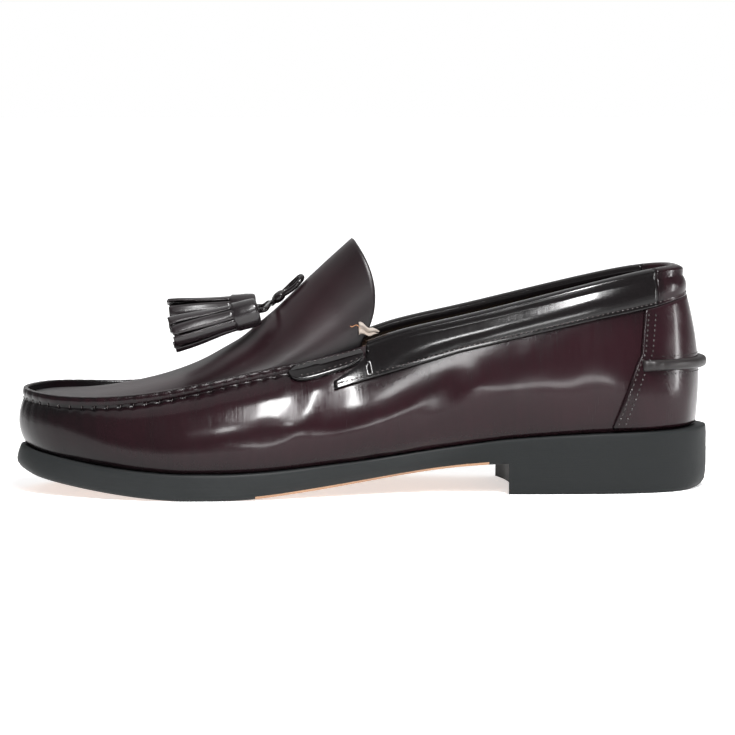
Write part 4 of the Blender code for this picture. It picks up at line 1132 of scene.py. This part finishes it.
def buildCollarBack():
    lower = lineOf(form["collarLine"])
    medial = shareOnWall("medial", collarLook["backJoint"])
    lateral = shareOnWall("lateral", collarLook["backJoint"]) - 1.0
    ps = np.linspace(lateral, medial, 46)
    rings = np.array([collarRing(p, low) for p, low in zip(ps, solveHeight(ps, lower))])
    shade = np.full(rings.shape[:2], 0.25)
    shade[:3] += 0.4
    shade[-3:] += 0.4
    skin = piece("collarHeel", rings, ringsToRun(rings), [upperLeather], shade=shade)
    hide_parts("collar_back")
    far = shoe["gap"] + shoe["overlay"] + seat
    sew("collarBack", ps, solveHeight(ps, lambda a: lower(a) + 0.0012), far)
    for end, inward in ((medial, -1.0), (lateral, 1.0)):
        p = np.full(12, end + inward * 0.0018)
        low = float(solveHeight(p[0], lambda a: lower(a) + 0.0015))
        sew("collarEnd", p, low + (0.93 - low) * np.linspace(0, 1, 12), far)


# a slab on the wall: outer face, turned edges and a back against the wall
def slabRings(ps, vs, far, bevel=0.0006, rimShare=0.62):
    face = overWall(ps, vs, np.full(ps.shape, far))
    back = overWall(ps, vs, np.full(ps.shape, seat))
    inset = face.copy()
    rims = []
    for end, inner in ((0, 1), (-1, -2)):
        rims.append((back[:, end] + (face[:, end] - back[:, end]) * rimShare)[:, None])
        run = face[:, inner] - face[:, end]
        length = np.maximum(np.linalg.norm(run, axis=-1, keepdims=True), 1e-6)
        inset[:, end] = face[:, end] + run * np.clip(bevel / length, 0, 0.45)
    return np.concatenate([rims[0], inset, rims[1], back[:, ::-1]], axis=1)


stayLook = {"rows": 44, "across": 61, "seamInsets": (0.0016, 0.0046), "lift": 0.00008}


def buildBackstay():
    look = stayLook
    edges = sorted(form["stayEdge"], key=lambda row: row[1])
    alongs, levels = [row[0] for row in edges], [row[1] for row in edges]
    bottom, top = levels[0], levels[-1]
    tallness = shoe["toplineHeight"]
    lower = lineOf(form["collarLine"])
    allP, allV = [], []
    for level in np.linspace(bottom, top, look["rows"]):
        along = float(np.interp(level, levels, alongs))
        share = (level - bottom) / (top - bottom)
        height = level * tallness
        start = float(findOnWall("lateral", along, height)[0]) - 1.0
        end = float(findOnWall("medial", along, height)[0])
        ps = np.linspace(start, end, look["across"])
        bent = solveHeight(ps, lambda a: height + share ** 3 * (lower(a) - 0.0004 - top * tallness))
        allP.append(ps)
        allV.append(bent)
    far = shoe["gap"] + shoe["overlay"]
    rings = slabRings(np.array(allP), np.array(allV), far)
    tall = pathLength(rings[:, look["across"] // 2])
    tall = np.broadcast_to(-tall[:, None], rings.shape[:2])
    run = np.stack([ringsToRun(rings)[..., 1], tall], axis=-1)
    share = np.linspace(-1, 1, look["across"])
    # darker along both side edges; at its foot next to the sole it gets painted shade
    shade = 0.55 * np.exp(-(1 - np.abs(share)) / 0.10)[None, :] * np.ones((look["rows"], 1))
    shade = np.concatenate([shade[:, :1], shade, shade[:, -1:], shade[:, ::-1]], axis=1)
    shade += 0.3 * smooth((0.05 - np.linspace(0, 1, look["rows"])[:, None]) / 0.05)
    skin = piece("heelStay", rings, run, [upperLeather], shade=shade)
    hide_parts("backstay")
    heights = np.linspace(bottom * 1.04, top * 0.995, 40) * tallness
    for side in ("medial", "lateral"):
        for inset in look["seamInsets"]:
            at = np.interp(heights / tallness, levels, alongs) - inset / shoe["soleLength"]
            sew("stay", *findOnWall(side, at, heights), far + look["lift"])


strapLook = {
    "level": 0.577,
    "reach": 0.106,
    "height": 0.0046,
    "depth": 0.0036,
    "taper": 0.007,
    "stitchOffset": 0.0036,
}


def buildStrap():
    look = strapLook
    level = look["level"] * shoe["toplineHeight"]
    start = float(findOnWall("lateral", look["reach"], level)[0]) - 1.0
    end = float(findOnWall("medial", look["reach"], level)[0])
    base = shoe["gap"] + shoe["overlay"]
    height, depth = look["height"], look["depth"]
    ps = np.linspace(start, end, 90)
    rings = []
    for p, v in zip(ps, solveHeight(ps, lambda a: level)):
        centre = wallPoint(p, v)
        out = wallNormal(p, v)
        up = np.array([0.0, 0.0, 1.0])
        up = up - out * np.dot(up, out)
        up = up / np.linalg.norm(up)
        toEnd = min(p - start, end - p)
        taper = float(smooth(toEnd / look["taper"]))
        wrap = 1.0 - 0.12 * float(bell(toEnd, 0.0125, 0.0014))
        deep = depth * (0.42 + 0.58 * taper) * wrap
        ring = []
        for degrees in (-90, -72, -50, -28, -9, 9, 28, 50, 72, 90):
            angle = np.radians(degrees)
            sine = math.sin(angle)
            rise = height / 2 * (abs(sine) ** 0.8) * math.copysign(1, sine) * (0.94 + 0.06 * wrap)
            full = 0.12 if abs(degrees) == 90 else 0.30 + 0.70 * math.cos(angle) ** 0.7
            ring.append(centre + up * rise + out * (base + deep * full))
        ring.append(centre + up * height * 0.45 + out * base * 0.9)
        ring.append(centre - up * height * 0.45 + out * base * 0.9)
        rings.append(ring)
    rings = np.array(rings)
    shade = np.full(rings.shape[:2], 0.35)
    skin = piece("heelStrapBand", rings, ringsToRun(rings), [strapLeather], shade=shade)
    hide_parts("heel_strap")
    inner = ps[8:-8]
    for offset in (look["stitchOffset"], -look["stitchOffset"]):
        sew("strap", inner, solveHeight(inner, lambda a: level + offset), base + seat)


tabLook = {"length": 0.032, "width": 0.0092, "back": (0.508, 0.640), "front": (0.606, 0.552)}


def tabHalf(share):
    return tabLook["width"] / 2 * max(1 - abs(share) ** 3.2, 0.004) ** (1 / 2.4)


def buildTab(side):
    look = tabLook
    sizes = np.array([shoe["soleLength"], shoe["toplineHeight"]])
    back, front = np.array(look["back"]) * sizes, np.array(look["front"]) * sizes
    middle = (back + front) / 2
    run = (front - back) / np.linalg.norm(front - back)
    lift = np.array([-run[1], run[0]])
    rowsP, rowsV = [], []
    for share in np.sin(np.linspace(-1, 1, 41) * math.pi / 2):
        across = lift * tabHalf(share) * np.linspace(-1, 1, 13)[:, None]
        row = middle + run * share * look["length"] / 2 + across
        p, v = findOnWall(side, row[:, 0] / shoe["soleLength"], row[:, 1])
        rowsP.append(p)
        rowsV.append(np.minimum(v, 0.995))
    far = shoe["gap"] * 2 + shoe["overlay"]
    rings = slabRings(np.array(rowsP), np.array(rowsV), far)
    shade = np.full(rings.shape[:2], 0.2)
    skin = piece("sideTab_" + side, rings, ringsToRun(rings), [darkLeather], shade=shade)
    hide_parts("tab_" + side)
    for level in (-0.66, 0.66):
        line = np.array([
            middle + run * share * look["length"] / 2 + lift * tabHalf(share) * level
            for share in np.linspace(-0.86, 0.86, 30)
        ])
        p, v = findOnWall(side, line[:, 0] / shoe["soleLength"], line[:, 1])
        sew("tab", p, np.minimum(v, 0.99), far + seat)


def buildRidgeStitches():
    p = np.linspace(0, 1, 3001)
    tops = wallPoint(p, 1.0)
    reach = pathLength(tops)
    good = alongOf(tops[:, 0]) > 0.535
    pitch = seamLook["pitch"]
    first, last = math.ceil(reach[good][0] / pitch), math.floor(reach[good][-1] / pitch)
    places = np.arange(first, last) * pitch + pitch / 2
    for share in np.interp(places, reach, p):
        lip = float(sectionsAt(share)[4])
        drops = min(0.0034 / lip, 1.0), min(0.0050 / lip, 1.22)
        vs = np.array([1 - 0.14 * drop for drop in drops])
        ps = np.full(2, share)
        line = overWall(ps, vs, np.array([0.00012, -0.00012]))
        stitchRows.append((
            line, wallNormal(ps, vs), 1.0, seamLook["threadLength"], seamLook["threadRadius"],
        ))


def pointAt(line, reach, place):
    return np.array([np.interp(place, reach, line[:, k]) for k in range(3)])


# one small bead for each stitch; a row with a pitch of 1 m has one stitch, at its middle
def buildStitches():
    mesh = bmesh.new()
    for line, normals, pitch, length, radius in stitchRows:
        reach = pathLength(line)
        if pitch >= 1.0:
            places = np.array([reach[-1] / 2])
        else:
            places = np.arange(pitch * 0.5, reach[-1] - pitch * 0.2, pitch)
        for place in places:
            middle = pointAt(line, reach, place)
            ahead = pointAt(line, reach, min(place + 0.0004, reach[-1]))
            behind = pointAt(line, reach, max(place - 0.0004, 0))
            run = Vector(ahead - behind).normalized()
            out = Vector(pointAt(normals, reach, place)).normalized()
            side = run.cross(out).normalized()
            turn = Matrix([
                (run[k] * length / 2, side[k] * radius, out[k] * radius * 0.9, middle[k])
                for k in range(3)
            ] + [(0, 0, 0, 1)])
            bmesh.ops.create_icosphere(mesh, subdivisions=1, radius=1.0, matrix=turn)
    data = bpy.data.meshes.new("stitching")
    for face in mesh.faces:
        face.smooth = True
    mesh.to_mesh(data)
    mesh.free()
    data.materials.append(threadDark)
    thing = addThing("stitching", data)
    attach(thing, "root")


def toeShare(p):
    return smooth((alongOf(outlineAt(p)[..., 0]) - 0.86) / 0.14)


def waistShare(p):
    along = alongOf(outlineAt(p)[..., 0])
    return smooth((along - 0.30) / 0.10) * smooth((0.68 - along) / 0.10)


# the sole edge from its top inward edge down to its bottom: inset from the outline, share of depth
def soleLevels(p):
    toe, waist, none = toeShare(p), waistShare(p), 0 * p
    fore = smooth((alongOf(outlineAt(p)[..., 0]) - 0.55) / 0.1)
    return [
        (0.0160 + none, 0.0), (0.0060 + none, 0.0), (0.0008 + 0.0020 * toe, 0.0),
        (0.0005 + 0.0019 * toe, 0.010), (0.0003 + 0.0018 * toe, 0.045),
        (0.0001 + 0.0016 * toe, 0.11), (0.0001 + 0.0013 * toe, 0.2),
        (0.0009 * toe, 0.35), (0.0004 * toe, 0.55),
        (0.0001 + 0.0012 * waist, 0.75), (0.0002 + 0.0018 * waist, 0.88),
        (0.0004 + 0.0024 * waist + 0.0008 * fore, 0.985),
        (0.0009 + 0.0026 * waist + 0.0012 * fore, 1.0), (0.0060 + none, 1.0),
    ]


soleLook = {
    "around": 560,
    "edgeLevel": 7,
    "leatherFrom": 12,
    "waistLeatherFrom": 10,
    "underInset": 0.005,
    "underRows": 90,
}


def buildOutsole():
    look = soleLook
    p = evenShares(look["around"])
    here = alongOf(outlineAt(p)[..., 0])
    levels = soleLevels(p)
    heelPart = smooth((breastShare + 0.012 - here) / 0.012)
    rings = []
    for inset, share in levels:
        if 0.6 < share and inset is not levels[-1][0]:
            inset = inset * (1 - heelPart) + 0.00002 * heelPart
        plan = ledgePoint(p, inset)
        along = alongOf(plan[:, 0])
        z = soleTop(along) * (1 - share) + soleBottom(along) * share
        rings.append(np.column_stack([plan, z]))
    rings = np.array(rings).transpose(1, 0, 2)
    reach = rowRun(rings[:, look["edgeLevel"]])
    tall = np.array([share * shoe["soleThickness"] for inset, share in levels])
    run = np.stack(np.broadcast_arrays(reach[:, None], tall[None, :]), axis=-1)
    slots = np.zeros(rings.shape[:2], int)
    slots[:, look["leatherFrom"]:] = 1
    slots[(waistShare(p) > 0.12), look["waistLeatherFrom"]:] = 1
    # painted shade: the sole's edge is painted darker towards the heel, where less light falls on
    # it
    shade = np.repeat(0.75 * smooth((0.46 - here) / 0.14)[:, None], len(levels), axis=1)
    band = piece("outsoleEdge", rings, run, [edgeSlate, soleLeather], slots, loop=True,
                 shade=shade, sharp=True)
    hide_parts("outsole")
    along = (1 - np.cos(np.linspace(0.10, math.pi - 0.10, look["underRows"]))) / 2
    inset = np.full(look["underRows"], look["underInset"])
    left, right = (ledgePoint(perimeterAt(side, along), inset) for side in ("medial", "lateral"))
    share = np.linspace(0, 1, 13)[None, :, None]
    plan = left[:, None] * (1 - share) + right[:, None] * share
    a = alongOf(plan[..., 0])
    low = np.dstack([plan, soleBottom(a) + 0.00012])
    high = np.dstack([plan, soleTop(a) - 0.0010])
    rings = np.concatenate([low, high[:, ::-1]], axis=1)
    across = np.linspace(0, 0.1, 26)[None, :]
    run = np.stack(np.broadcast_arrays((a[:, :1] * shoe["soleLength"]), across), axis=-1)
    core = piece("outsoleUnder", rings, run, [soleLeather])


# the heel block from its bottom up: height, inset at the sides and at the back, lift off the sole
heelLevels = (
    (0.0, 0.0012, 0.0040, 0.0002), (0.0004, 0.0007, 0.0030, 0.0002),
    (0.0014, 0.0003, 0.0018, 0.0002), (0.0032, 0.0001, 0.0006, 0.0002),
    (0.0060, 0.0, 0.0002, 0.0002), (0.0100, 0.0, 0.0, 0.0002), (0.0128, 0.0, 0.0, 0.0002),
    (1.0, 0.0, 0.0, -0.0002), (1.0, 0.0, 0.0, 0.0002),
)


def buildHeel():
    alongs = breastShare * (1 - np.cos(np.linspace(0, math.pi / 2, 70)))
    medial, lateral = perimeterAt("medial", alongs), perimeterAt("lateral", alongs)
    medial[0] = 0.0
    loopShares = np.concatenate([medial[::-1], lateral[1:]])
    atBack = smooth(1 - alongOf(outlineAt(loopShares)[:, 0]) / 0.06)
    rings = []
    for height, inset, back, lift in heelLevels:
        plan = ledgePoint(loopShares, inset + (back - inset) * atBack)
        start, stop = plan[-1], plan[0]
        bow = []
        for share in np.linspace(0, 1, 40)[1:-1]:
            point = start + (stop - start) * share
            curve = 1 - abs(2 * share - 1) ** 2.4
            bow.append((point[0] + shoe["breastCurve"] * curve, point[1]))
        plan = np.vstack([plan, bow])
        along = np.clip(alongOf(plan[:, 0]), 0, breastShare - 1e-6)
        z = np.minimum(np.full(len(plan), height), soleBottom(along) + lift)
        rings.append(np.column_stack([plan, z]))
    rings = np.array(rings)
    run = np.stack(np.broadcast_arrays(rowRun(rings[4])[None, :], -rings[:, :1, 2]), axis=-1)
    # painted shade: the whole heel block is painted as dark as the sole's edge at the heel
    shade = np.full(rings.shape[:2], 0.75)
    block = piece("heelBlock", rings, run, [edgeSlate], shade=shade, sharp=True)
    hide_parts("heel")


# the tied thong and its two tassels, placed as in the frame
laceLook = {
    "radius": 0.0011,
    "knotAlong": 0.615,
    "knotHalves": (3.2, 3.6, 2.0),
    "loopLength": 0.032,
    "loopWidth": 3.0,
    "loopTilt": 1.1,
    "tassels": {
        "medial": {"start": (-0.507, -0.150, 0.826), "slope": 15.0, "yaw": 2.0},
        "lateral": {"start": (-0.507, 0.125, 0.821), "slope": 6.0, "yaw": -3.0},
    },
    "tasselLength": 0.038,
    "tasselRadius": 0.0074,
    "headTurns": 40,
    "headWobble": (0.020, 0.010),
    # distance from the tassel's start and radius, as shares of its length and radius
    "head": (
        (0.000, 0.40), (0.003, 0.60), (0.008, 0.70), (0.018, 0.77), (0.040, 0.80), (0.110, 0.815),
        (0.190, 0.82), (0.258, 0.82), (0.264, 0.81), (0.270, 0.79), (0.280, 0.76), (0.292, 0.70),
        (0.300, 0.55),
    ),
    # layers of strips from outside in: count, radius where they start, width
    "layers": ((7, 0.69, 0.0048), (6, 0.44, 0.0036), (4, 0.18, 0.0026)),
    "stripFrom": 0.274,
    "stripRows": 18,
    "curl": 0.00032,
    "thickness": 0.00040,
    "seeds": {"medial": 5, "lateral": 11},
}


def placeOf(shares):
    sizes = (shoe["soleLength"], shoe["ballWidth"], shoe["toplineHeight"])
    return np.array([share * size for share, size in zip(shares, sizes)])


def tasselFrame(side):
    row = laceLook["tassels"][side]
    slope, yaw = math.radians(row["slope"]), math.radians(row["yaw"])
    start = placeOf(row["start"])
    level = math.cos(slope)
    run = np.array([-level * math.cos(yaw), -math.sin(yaw) * level, -math.sin(slope)])
    across = np.cross(run, (0.0, 0.0, 1.0))
    across = across / np.linalg.norm(across)
    return start, run, across, np.cross(across, run)


# a strip's section: ten points from its width and thickness, the outside first
def stripRing(middle, tangent, radial, half):
    curl, thick = laceLook["curl"], laceLook["thickness"]
    return [middle + tangent * half * across + radial * up for across, up in (
        (-0.94, 0.00045 - curl), (-0.5, 0.00050), (0.0, 0.00055), (0.5, 0.00050),
        (0.94, 0.00045 - curl), (1.0, -curl), (0.9, -(thick + curl)), (0.0, -thick),
        (-0.9, -(thick + curl)), (-1.0, -curl),
    )]


def buildTassel(side):
    look = laceLook
    start, run, across, up = tasselFrame(side)
    length, radius = look["tasselLength"], look["tasselRadius"]
    angles = 2 * math.pi * np.arange(look["headTurns"]) / look["headTurns"]
    around = np.cos(angles)[:, None] * across + np.sin(angles)[:, None] * up
    broad, fine = look["headWobble"]
    rings = []
    for distance, share in look["head"]:
        wobble = 1 + broad * np.sin(3 * angles + distance * 9)
        wobble = wobble + fine * np.sin(8 * angles - distance * 40)
        rings.append(start + run * distance * length + around * (radius * share * wobble)[:, None])
    rings = np.array(rings)
    shade = np.full(rings.shape[:2], 0.1)
    head = piece("tasselHead_" + side, rings, ringsToRun(rings), [tasselLeather], shade=shade)
    mesh = bmesh.new()
    uvs = mesh.loops.layers.uv.new("run")
    rng = np.random.default_rng(look["seeds"][side])
    begin = look["stripFrom"] * length
    for layer, (count, base, wide) in enumerate(look["layers"]):
        for k in range(count):
            angle = 2 * math.pi * (k + 0.5 * layer) / count + rng.uniform(-0.08, 0.08)
            reach = length * (0.995 - 0.02 * layer) - rng.uniform(0, 0.0016)
            spread = rng.uniform(-0.07, 0.06)
            bend = rng.uniform(-0.10, 0.10)
            twist = rng.uniform(-0.35, 0.35)
            made = []
            for share in np.linspace(0, 1, look["stripRows"]):
                turn = angle + bend * share ** 2
                outward = across * math.cos(turn) + up * math.sin(turn)
                sideways = -across * math.sin(turn) + up * math.cos(turn)
                cosine, sine = math.cos(twist * share), math.sin(twist * share)
                radial = outward * cosine + sideways * sine
                tangent = sideways * cosine - outward * sine
                flare = base + 0.16 * share
                if layer == 0:
                    flare = base + (0.90 + spread - base) * smooth(share)
                flare += 0.02 * share * math.sin(7 * share + angle)
                middle = start + run * (begin + (reach - begin) * share) + outward * radius * flare
                half = wide / 2 * (0.86 + 0.14 * smooth(share * 2)) * (1 if share < 0.97 else 0.86)
                ring = stripRing(middle, tangent, radial, half)
                made.append([mesh.verts.new(Vector(point)) for point in ring])
            for i in range(len(made) - 1):
                for j in range(10):
                    places = ((i, j), (i, j + 1), (i + 1, j + 1), (i + 1, j))
                    face = mesh.faces.new([made[a][b % 10] for a, b in places])
                    for corner, (a, b) in zip(face.loops, places):
                        corner[uvs].uv = (b * 0.0006, a * 0.002)
            mesh.faces.new(made[0][::-1])
            mesh.faces.new(made[-1])
    data = bpy.data.meshes.new("tasselFringe_" + side)
    fringe = finishPiece("tasselFringe_" + side, mesh, data, [tasselLeather])
    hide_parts("tassel_" + side)
    return head, fringe


# point over the plug's crest at a distance along, with an offset across and a lift
def overPlug(along, across, lift):
    shares = np.linspace(0.5, 1.0, 501)
    crest = plugPoint(shares, np.zeros(501))
    order = np.argsort(alongOf(crest[:, 0]))
    u = float(np.interp(along, alongOf(crest[order, 0]), shares[order]))
    normal = plugNormal(u, 0.0)
    normal = normal * np.sign(normal[2])
    half = float(rowsAt(u)[4] - rowsAt(u)[1]) / 2
    return plugPoint(u, math.asin(across / half)) + normal * lift, normal


def knotFrame():
    sizes = np.array(laceLook["knotHalves"]) * laceLook["radius"]
    knot, away = overPlug(laceLook["knotAlong"], 0.0, sizes[2] + shoe["gap"] * 1.5)
    sideways = np.array([0.0, 1.0, 0.0])
    return knot, np.cross(sideways, away), sideways, away, sizes


def loopRoute():
    knot, _, sideways, *_ = knotFrame()
    radius = laceLook["radius"]
    rest = radius + shoe["gap"] * 1.5
    wide, tilt = laceLook["loopWidth"] * radius, laceLook["loopTilt"] * radius
    along, length = laceLook["knotAlong"], laceLook["loopLength"]
    near = overPlug(along - length * 0.55, -wide, rest + tilt * 0.1)[0]
    far = overPlug(along - length * 0.55, wide, rest + tilt)[0]
    endNear = overPlug(along - length * 0.93, -wide * 0.6, rest + tilt * 0.15)[0]
    end = overPlug(along - length, 0.0, rest + tilt * 0.5)[0]
    endFar = overPlug(along - length * 0.93, wide * 0.6, rest + tilt * 0.9)[0]
    return spline(np.linspace(0, 1, 7), [
        knot - sideways * radius, near, endNear, end, endFar, far, knot + sideways * radius,
    ])


def thongPoints(side):
    knot, uphill, sideways, _, sizes = knotFrame()
    radius = laceLook["radius"]
    sign = -1.0 if side == "medial" else 1.0
    shares = np.linspace(0.5, 0.02, 16) if side == "medial" else np.linspace(0.5, 0.98, 16)
    points = list(loopRoute()(shares))
    start, run, *_ = tasselFrame(side)
    first = knot - uphill * (sizes[0] + radius * 0.4 + shoe["gap"]) + sideways * sign * radius * 1.6
    last = start - run * shoe["gap"] * 2.5
    before = last - run * 0.0022
    lift = np.array([0.0, 0.0, 0.0006])
    points.append((points[-1] + first) / 2)
    thong = spline(np.linspace(0, 1, 4), [first, first * 0.55 + before * 0.45 + lift, before, last])
    points.extend(thong(np.linspace(0, 1, 12)))
    points.extend([last + run * 0.002, last + run * 0.0045, last + run * 0.007])
    return np.array(points)


def buildKnot():
    knot, uphill, sideways, away, sizes = knotFrame()
    turns = 2 * math.pi * np.arange(56) / 56
    rings = []
    for polar in math.pi * np.linspace(0.03, 0.97, 34):
        strand = np.abs(np.sin(1.5 * turns + 2.4 * polar)) ** 0.5
        radial = math.sin(polar) ** 0.7 * (0.86 + 0.14 * strand)
        rings.append(knot - sideways * sizes[1] * math.cos(polar)
                     + uphill * (sizes[0] * radial * np.cos(turns))[:, None]
                     + away * (sizes[2] * radial * np.sin(turns))[:, None])
    rings = np.array(rings)
    shade = np.full(rings.shape[:2], 0.1)
    made = piece("laceKnot", rings, ringsToRun(rings), [darkLeather], shade=shade)
    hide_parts("lace_bow")
    return made


def buildLace():
    knot = buildKnot()
    for side in ("medial", "lateral"):
        head, fringe = buildTassel(side)
        points = thongPoints(side)
        curve = bpy.data.curves.new("thong" + side.capitalize(), "CURVE")
        curve.dimensions = "3D"
        curve.bevel_depth = laceLook["radius"]
        curve.bevel_resolution = 5
        curve.use_fill_caps = True
        line = curve.splines.new("POLY")
        line.points.add(len(points) - 1)
        for point, position in zip(line.points, points):
            point.co = (*position, 1.0)
        curve.materials.append(darkLeather)
        thing = addThing("thong" + side.capitalize(), curve)
        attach(thing, "root")
        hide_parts("thong_" + side)


# a torn corner of the tongue's lining between the tongue and the collar, with a loose thread
def buildScrap():
    corner = plugPoint(1.0, math.radians(-84))
    rows = []
    for s in np.linspace(0, 1, 16):
        t = np.linspace(-1, 1, 13)
        width = 0.0027 * (1 - 0.66 * s)
        rows.append(np.stack([
            corner[0] - 0.0036 + 0.0078 * s + 0.0007 * np.sin(4 * t) * s,
            corner[1] - 0.0016 + 0.0007 * np.cos(5 * t + 2 * s) - 0.0006 * s,
            corner[2] + 0.0012 - 0.0016 * s + t * width + 0.0005 * np.sin(9 * s),
        ], axis=-1))
    face = np.array(rows)
    back = face + np.array([0.0, 0.0004, 0.0])
    rings = np.concatenate([face, back[:, ::-1]], axis=1)
    made = piece("liningScrap", rings, ringsToRun(rings), [scrapCloth])
    away = np.linspace(0, 1, 14)[:, None]
    start, run = np.array([-0.0030, -0.0026, 0.0012]), np.array([-0.0042, -0.0004, 0.0020])
    path = corner + start + away * run
    path = path + np.sin(away * 5.0) * np.array([0.0, -0.0003, 0.0009])
    turns = 2 * math.pi * np.arange(8) / 8
    ring = np.stack([0 * turns, np.cos(turns), np.sin(turns)], axis=-1) * 0.00016
    thread = path[:, None] + ring[None]
    made = piece("looseThread", thread, ringsToRun(thread), [threadTan])


buildUpper()
print("upper made")
buildPlug()
print("plug made")
for sideName in ("medial", "lateral"):
    buildCollar(sideName)
    buildTab(sideName)
buildCollarBack()
buildBackstay()
buildStrap()
print("overlays made")
buildOutsole()
buildHeel()
print("sole made")
buildRidgeStitches()
buildStitches()
buildLace()
buildScrap()
print("stitches and lace made")

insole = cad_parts["insole"]
insole.data.materials.clear()
insole.data.materials.append(insoleLeather)

# pale floor, a soft ceiling, a few softboxes and a room that is bright only at the horizon
studio = {
    "floorColour": (0.86, 0.86, 0.86),
    "floorGlow": 0.56,
    "roomLow": 1.0,
    "roomHigh": 0.26,
    "lights": {
        "ceiling": {
            "at": (-0.1, 3.0, 3.6), "aim": (-0.1, 3.0, 0.0),
            "size": (7.0, 7.0), "power": 100.0,
        },
        "key": {
            "at": (0.14, -0.99, 1.31), "aim": (-0.13, -0.04, 0.05),
            "size": (0.14, 0.70), "power": 40.0,
        },
        "low": {
            "at": (0.31, -1.54, 0.19), "aim": (-0.10, -0.04, 0.04),
            "size": (0.36, 0.10), "power": 2.4,
        },
        "spot": {
            "at": (-0.10, -1.40, 0.92), "aim": (-0.08, -0.04, 0.05),
            "size": (0.16, 0.16), "power": 4.0,
        },
        "behind": {
            "at": (-0.35, 3.20, 1.28), "aim": (-0.15, 0.0, 0.06),
            "size": (1.80, 0.50), "power": 3.0,
        },
        "heelSide": {
            "at": (1.50, -0.17, 0.17), "aim": (0.03, -0.02, 0.06),
            "size": (0.12, 0.55), "power": 8.0,
        },
    },
}


def buildStudio():
    mesh = bmesh.new()
    bmesh.ops.create_grid(mesh, x_segments=1, y_segments=1, size=4.5)
    data = bpy.data.meshes.new("paleFloor")
    mesh.to_mesh(data)
    mesh.free()
    made, shader = newMaterial("paleFloor")[::2]
    shader.inputs["Base Color"].default_value = (*studio["floorColour"], 1.0)
    shader.inputs["Roughness"].default_value = 0.9
    shader.inputs["Specular IOR Level"].default_value = 0.1
    shader.inputs["Emission Color"].default_value = (1.0, 1.0, 1.0, 1.0)
    shader.inputs["Emission Strength"].default_value = studio["floorGlow"]
    data.materials.append(made)
    floor = addThing("paleFloor", data)
    for name, look in studio["lights"].items():
        light = bpy.data.lights.new(name, "AREA")
        light.shape = "RECTANGLE"
        light.size, light.size_y = look["size"]
        light.energy = look["power"]
        thing = addThing(name, light)
        thing.location = look["at"]
        aim = Vector(look["aim"]) - Vector(look["at"])
        thing.rotation_euler = aim.to_track_quat("-Z", "Y").to_euler()
    world = bpy.data.worlds.new("paleRoom")
    world.use_nodes = True
    tree = world.node_tree
    place = addNode(tree, "ShaderNodeTexCoord").outputs["Generated"]
    rise = addNode(tree, "ShaderNodeSeparateXYZ", {0: place}).outputs["Z"]
    share = addNode(tree, "ShaderNodeMapRange", {
        "Value": rise, "From Min": 0.02, "From Max": 0.14,
        "To Min": studio["roomLow"], "To Max": studio["roomHigh"],
    })
    share.clamp = True
    tree.links.new(share.outputs[0], tree.nodes["Background"].inputs["Strength"])
    tree.nodes["Background"].inputs["Color"].default_value = (1.0, 1.0, 1.0, 1.0)
    scene.world = world
    scene.view_settings.view_transform = "Standard"


buildStudio()
print("studio made")
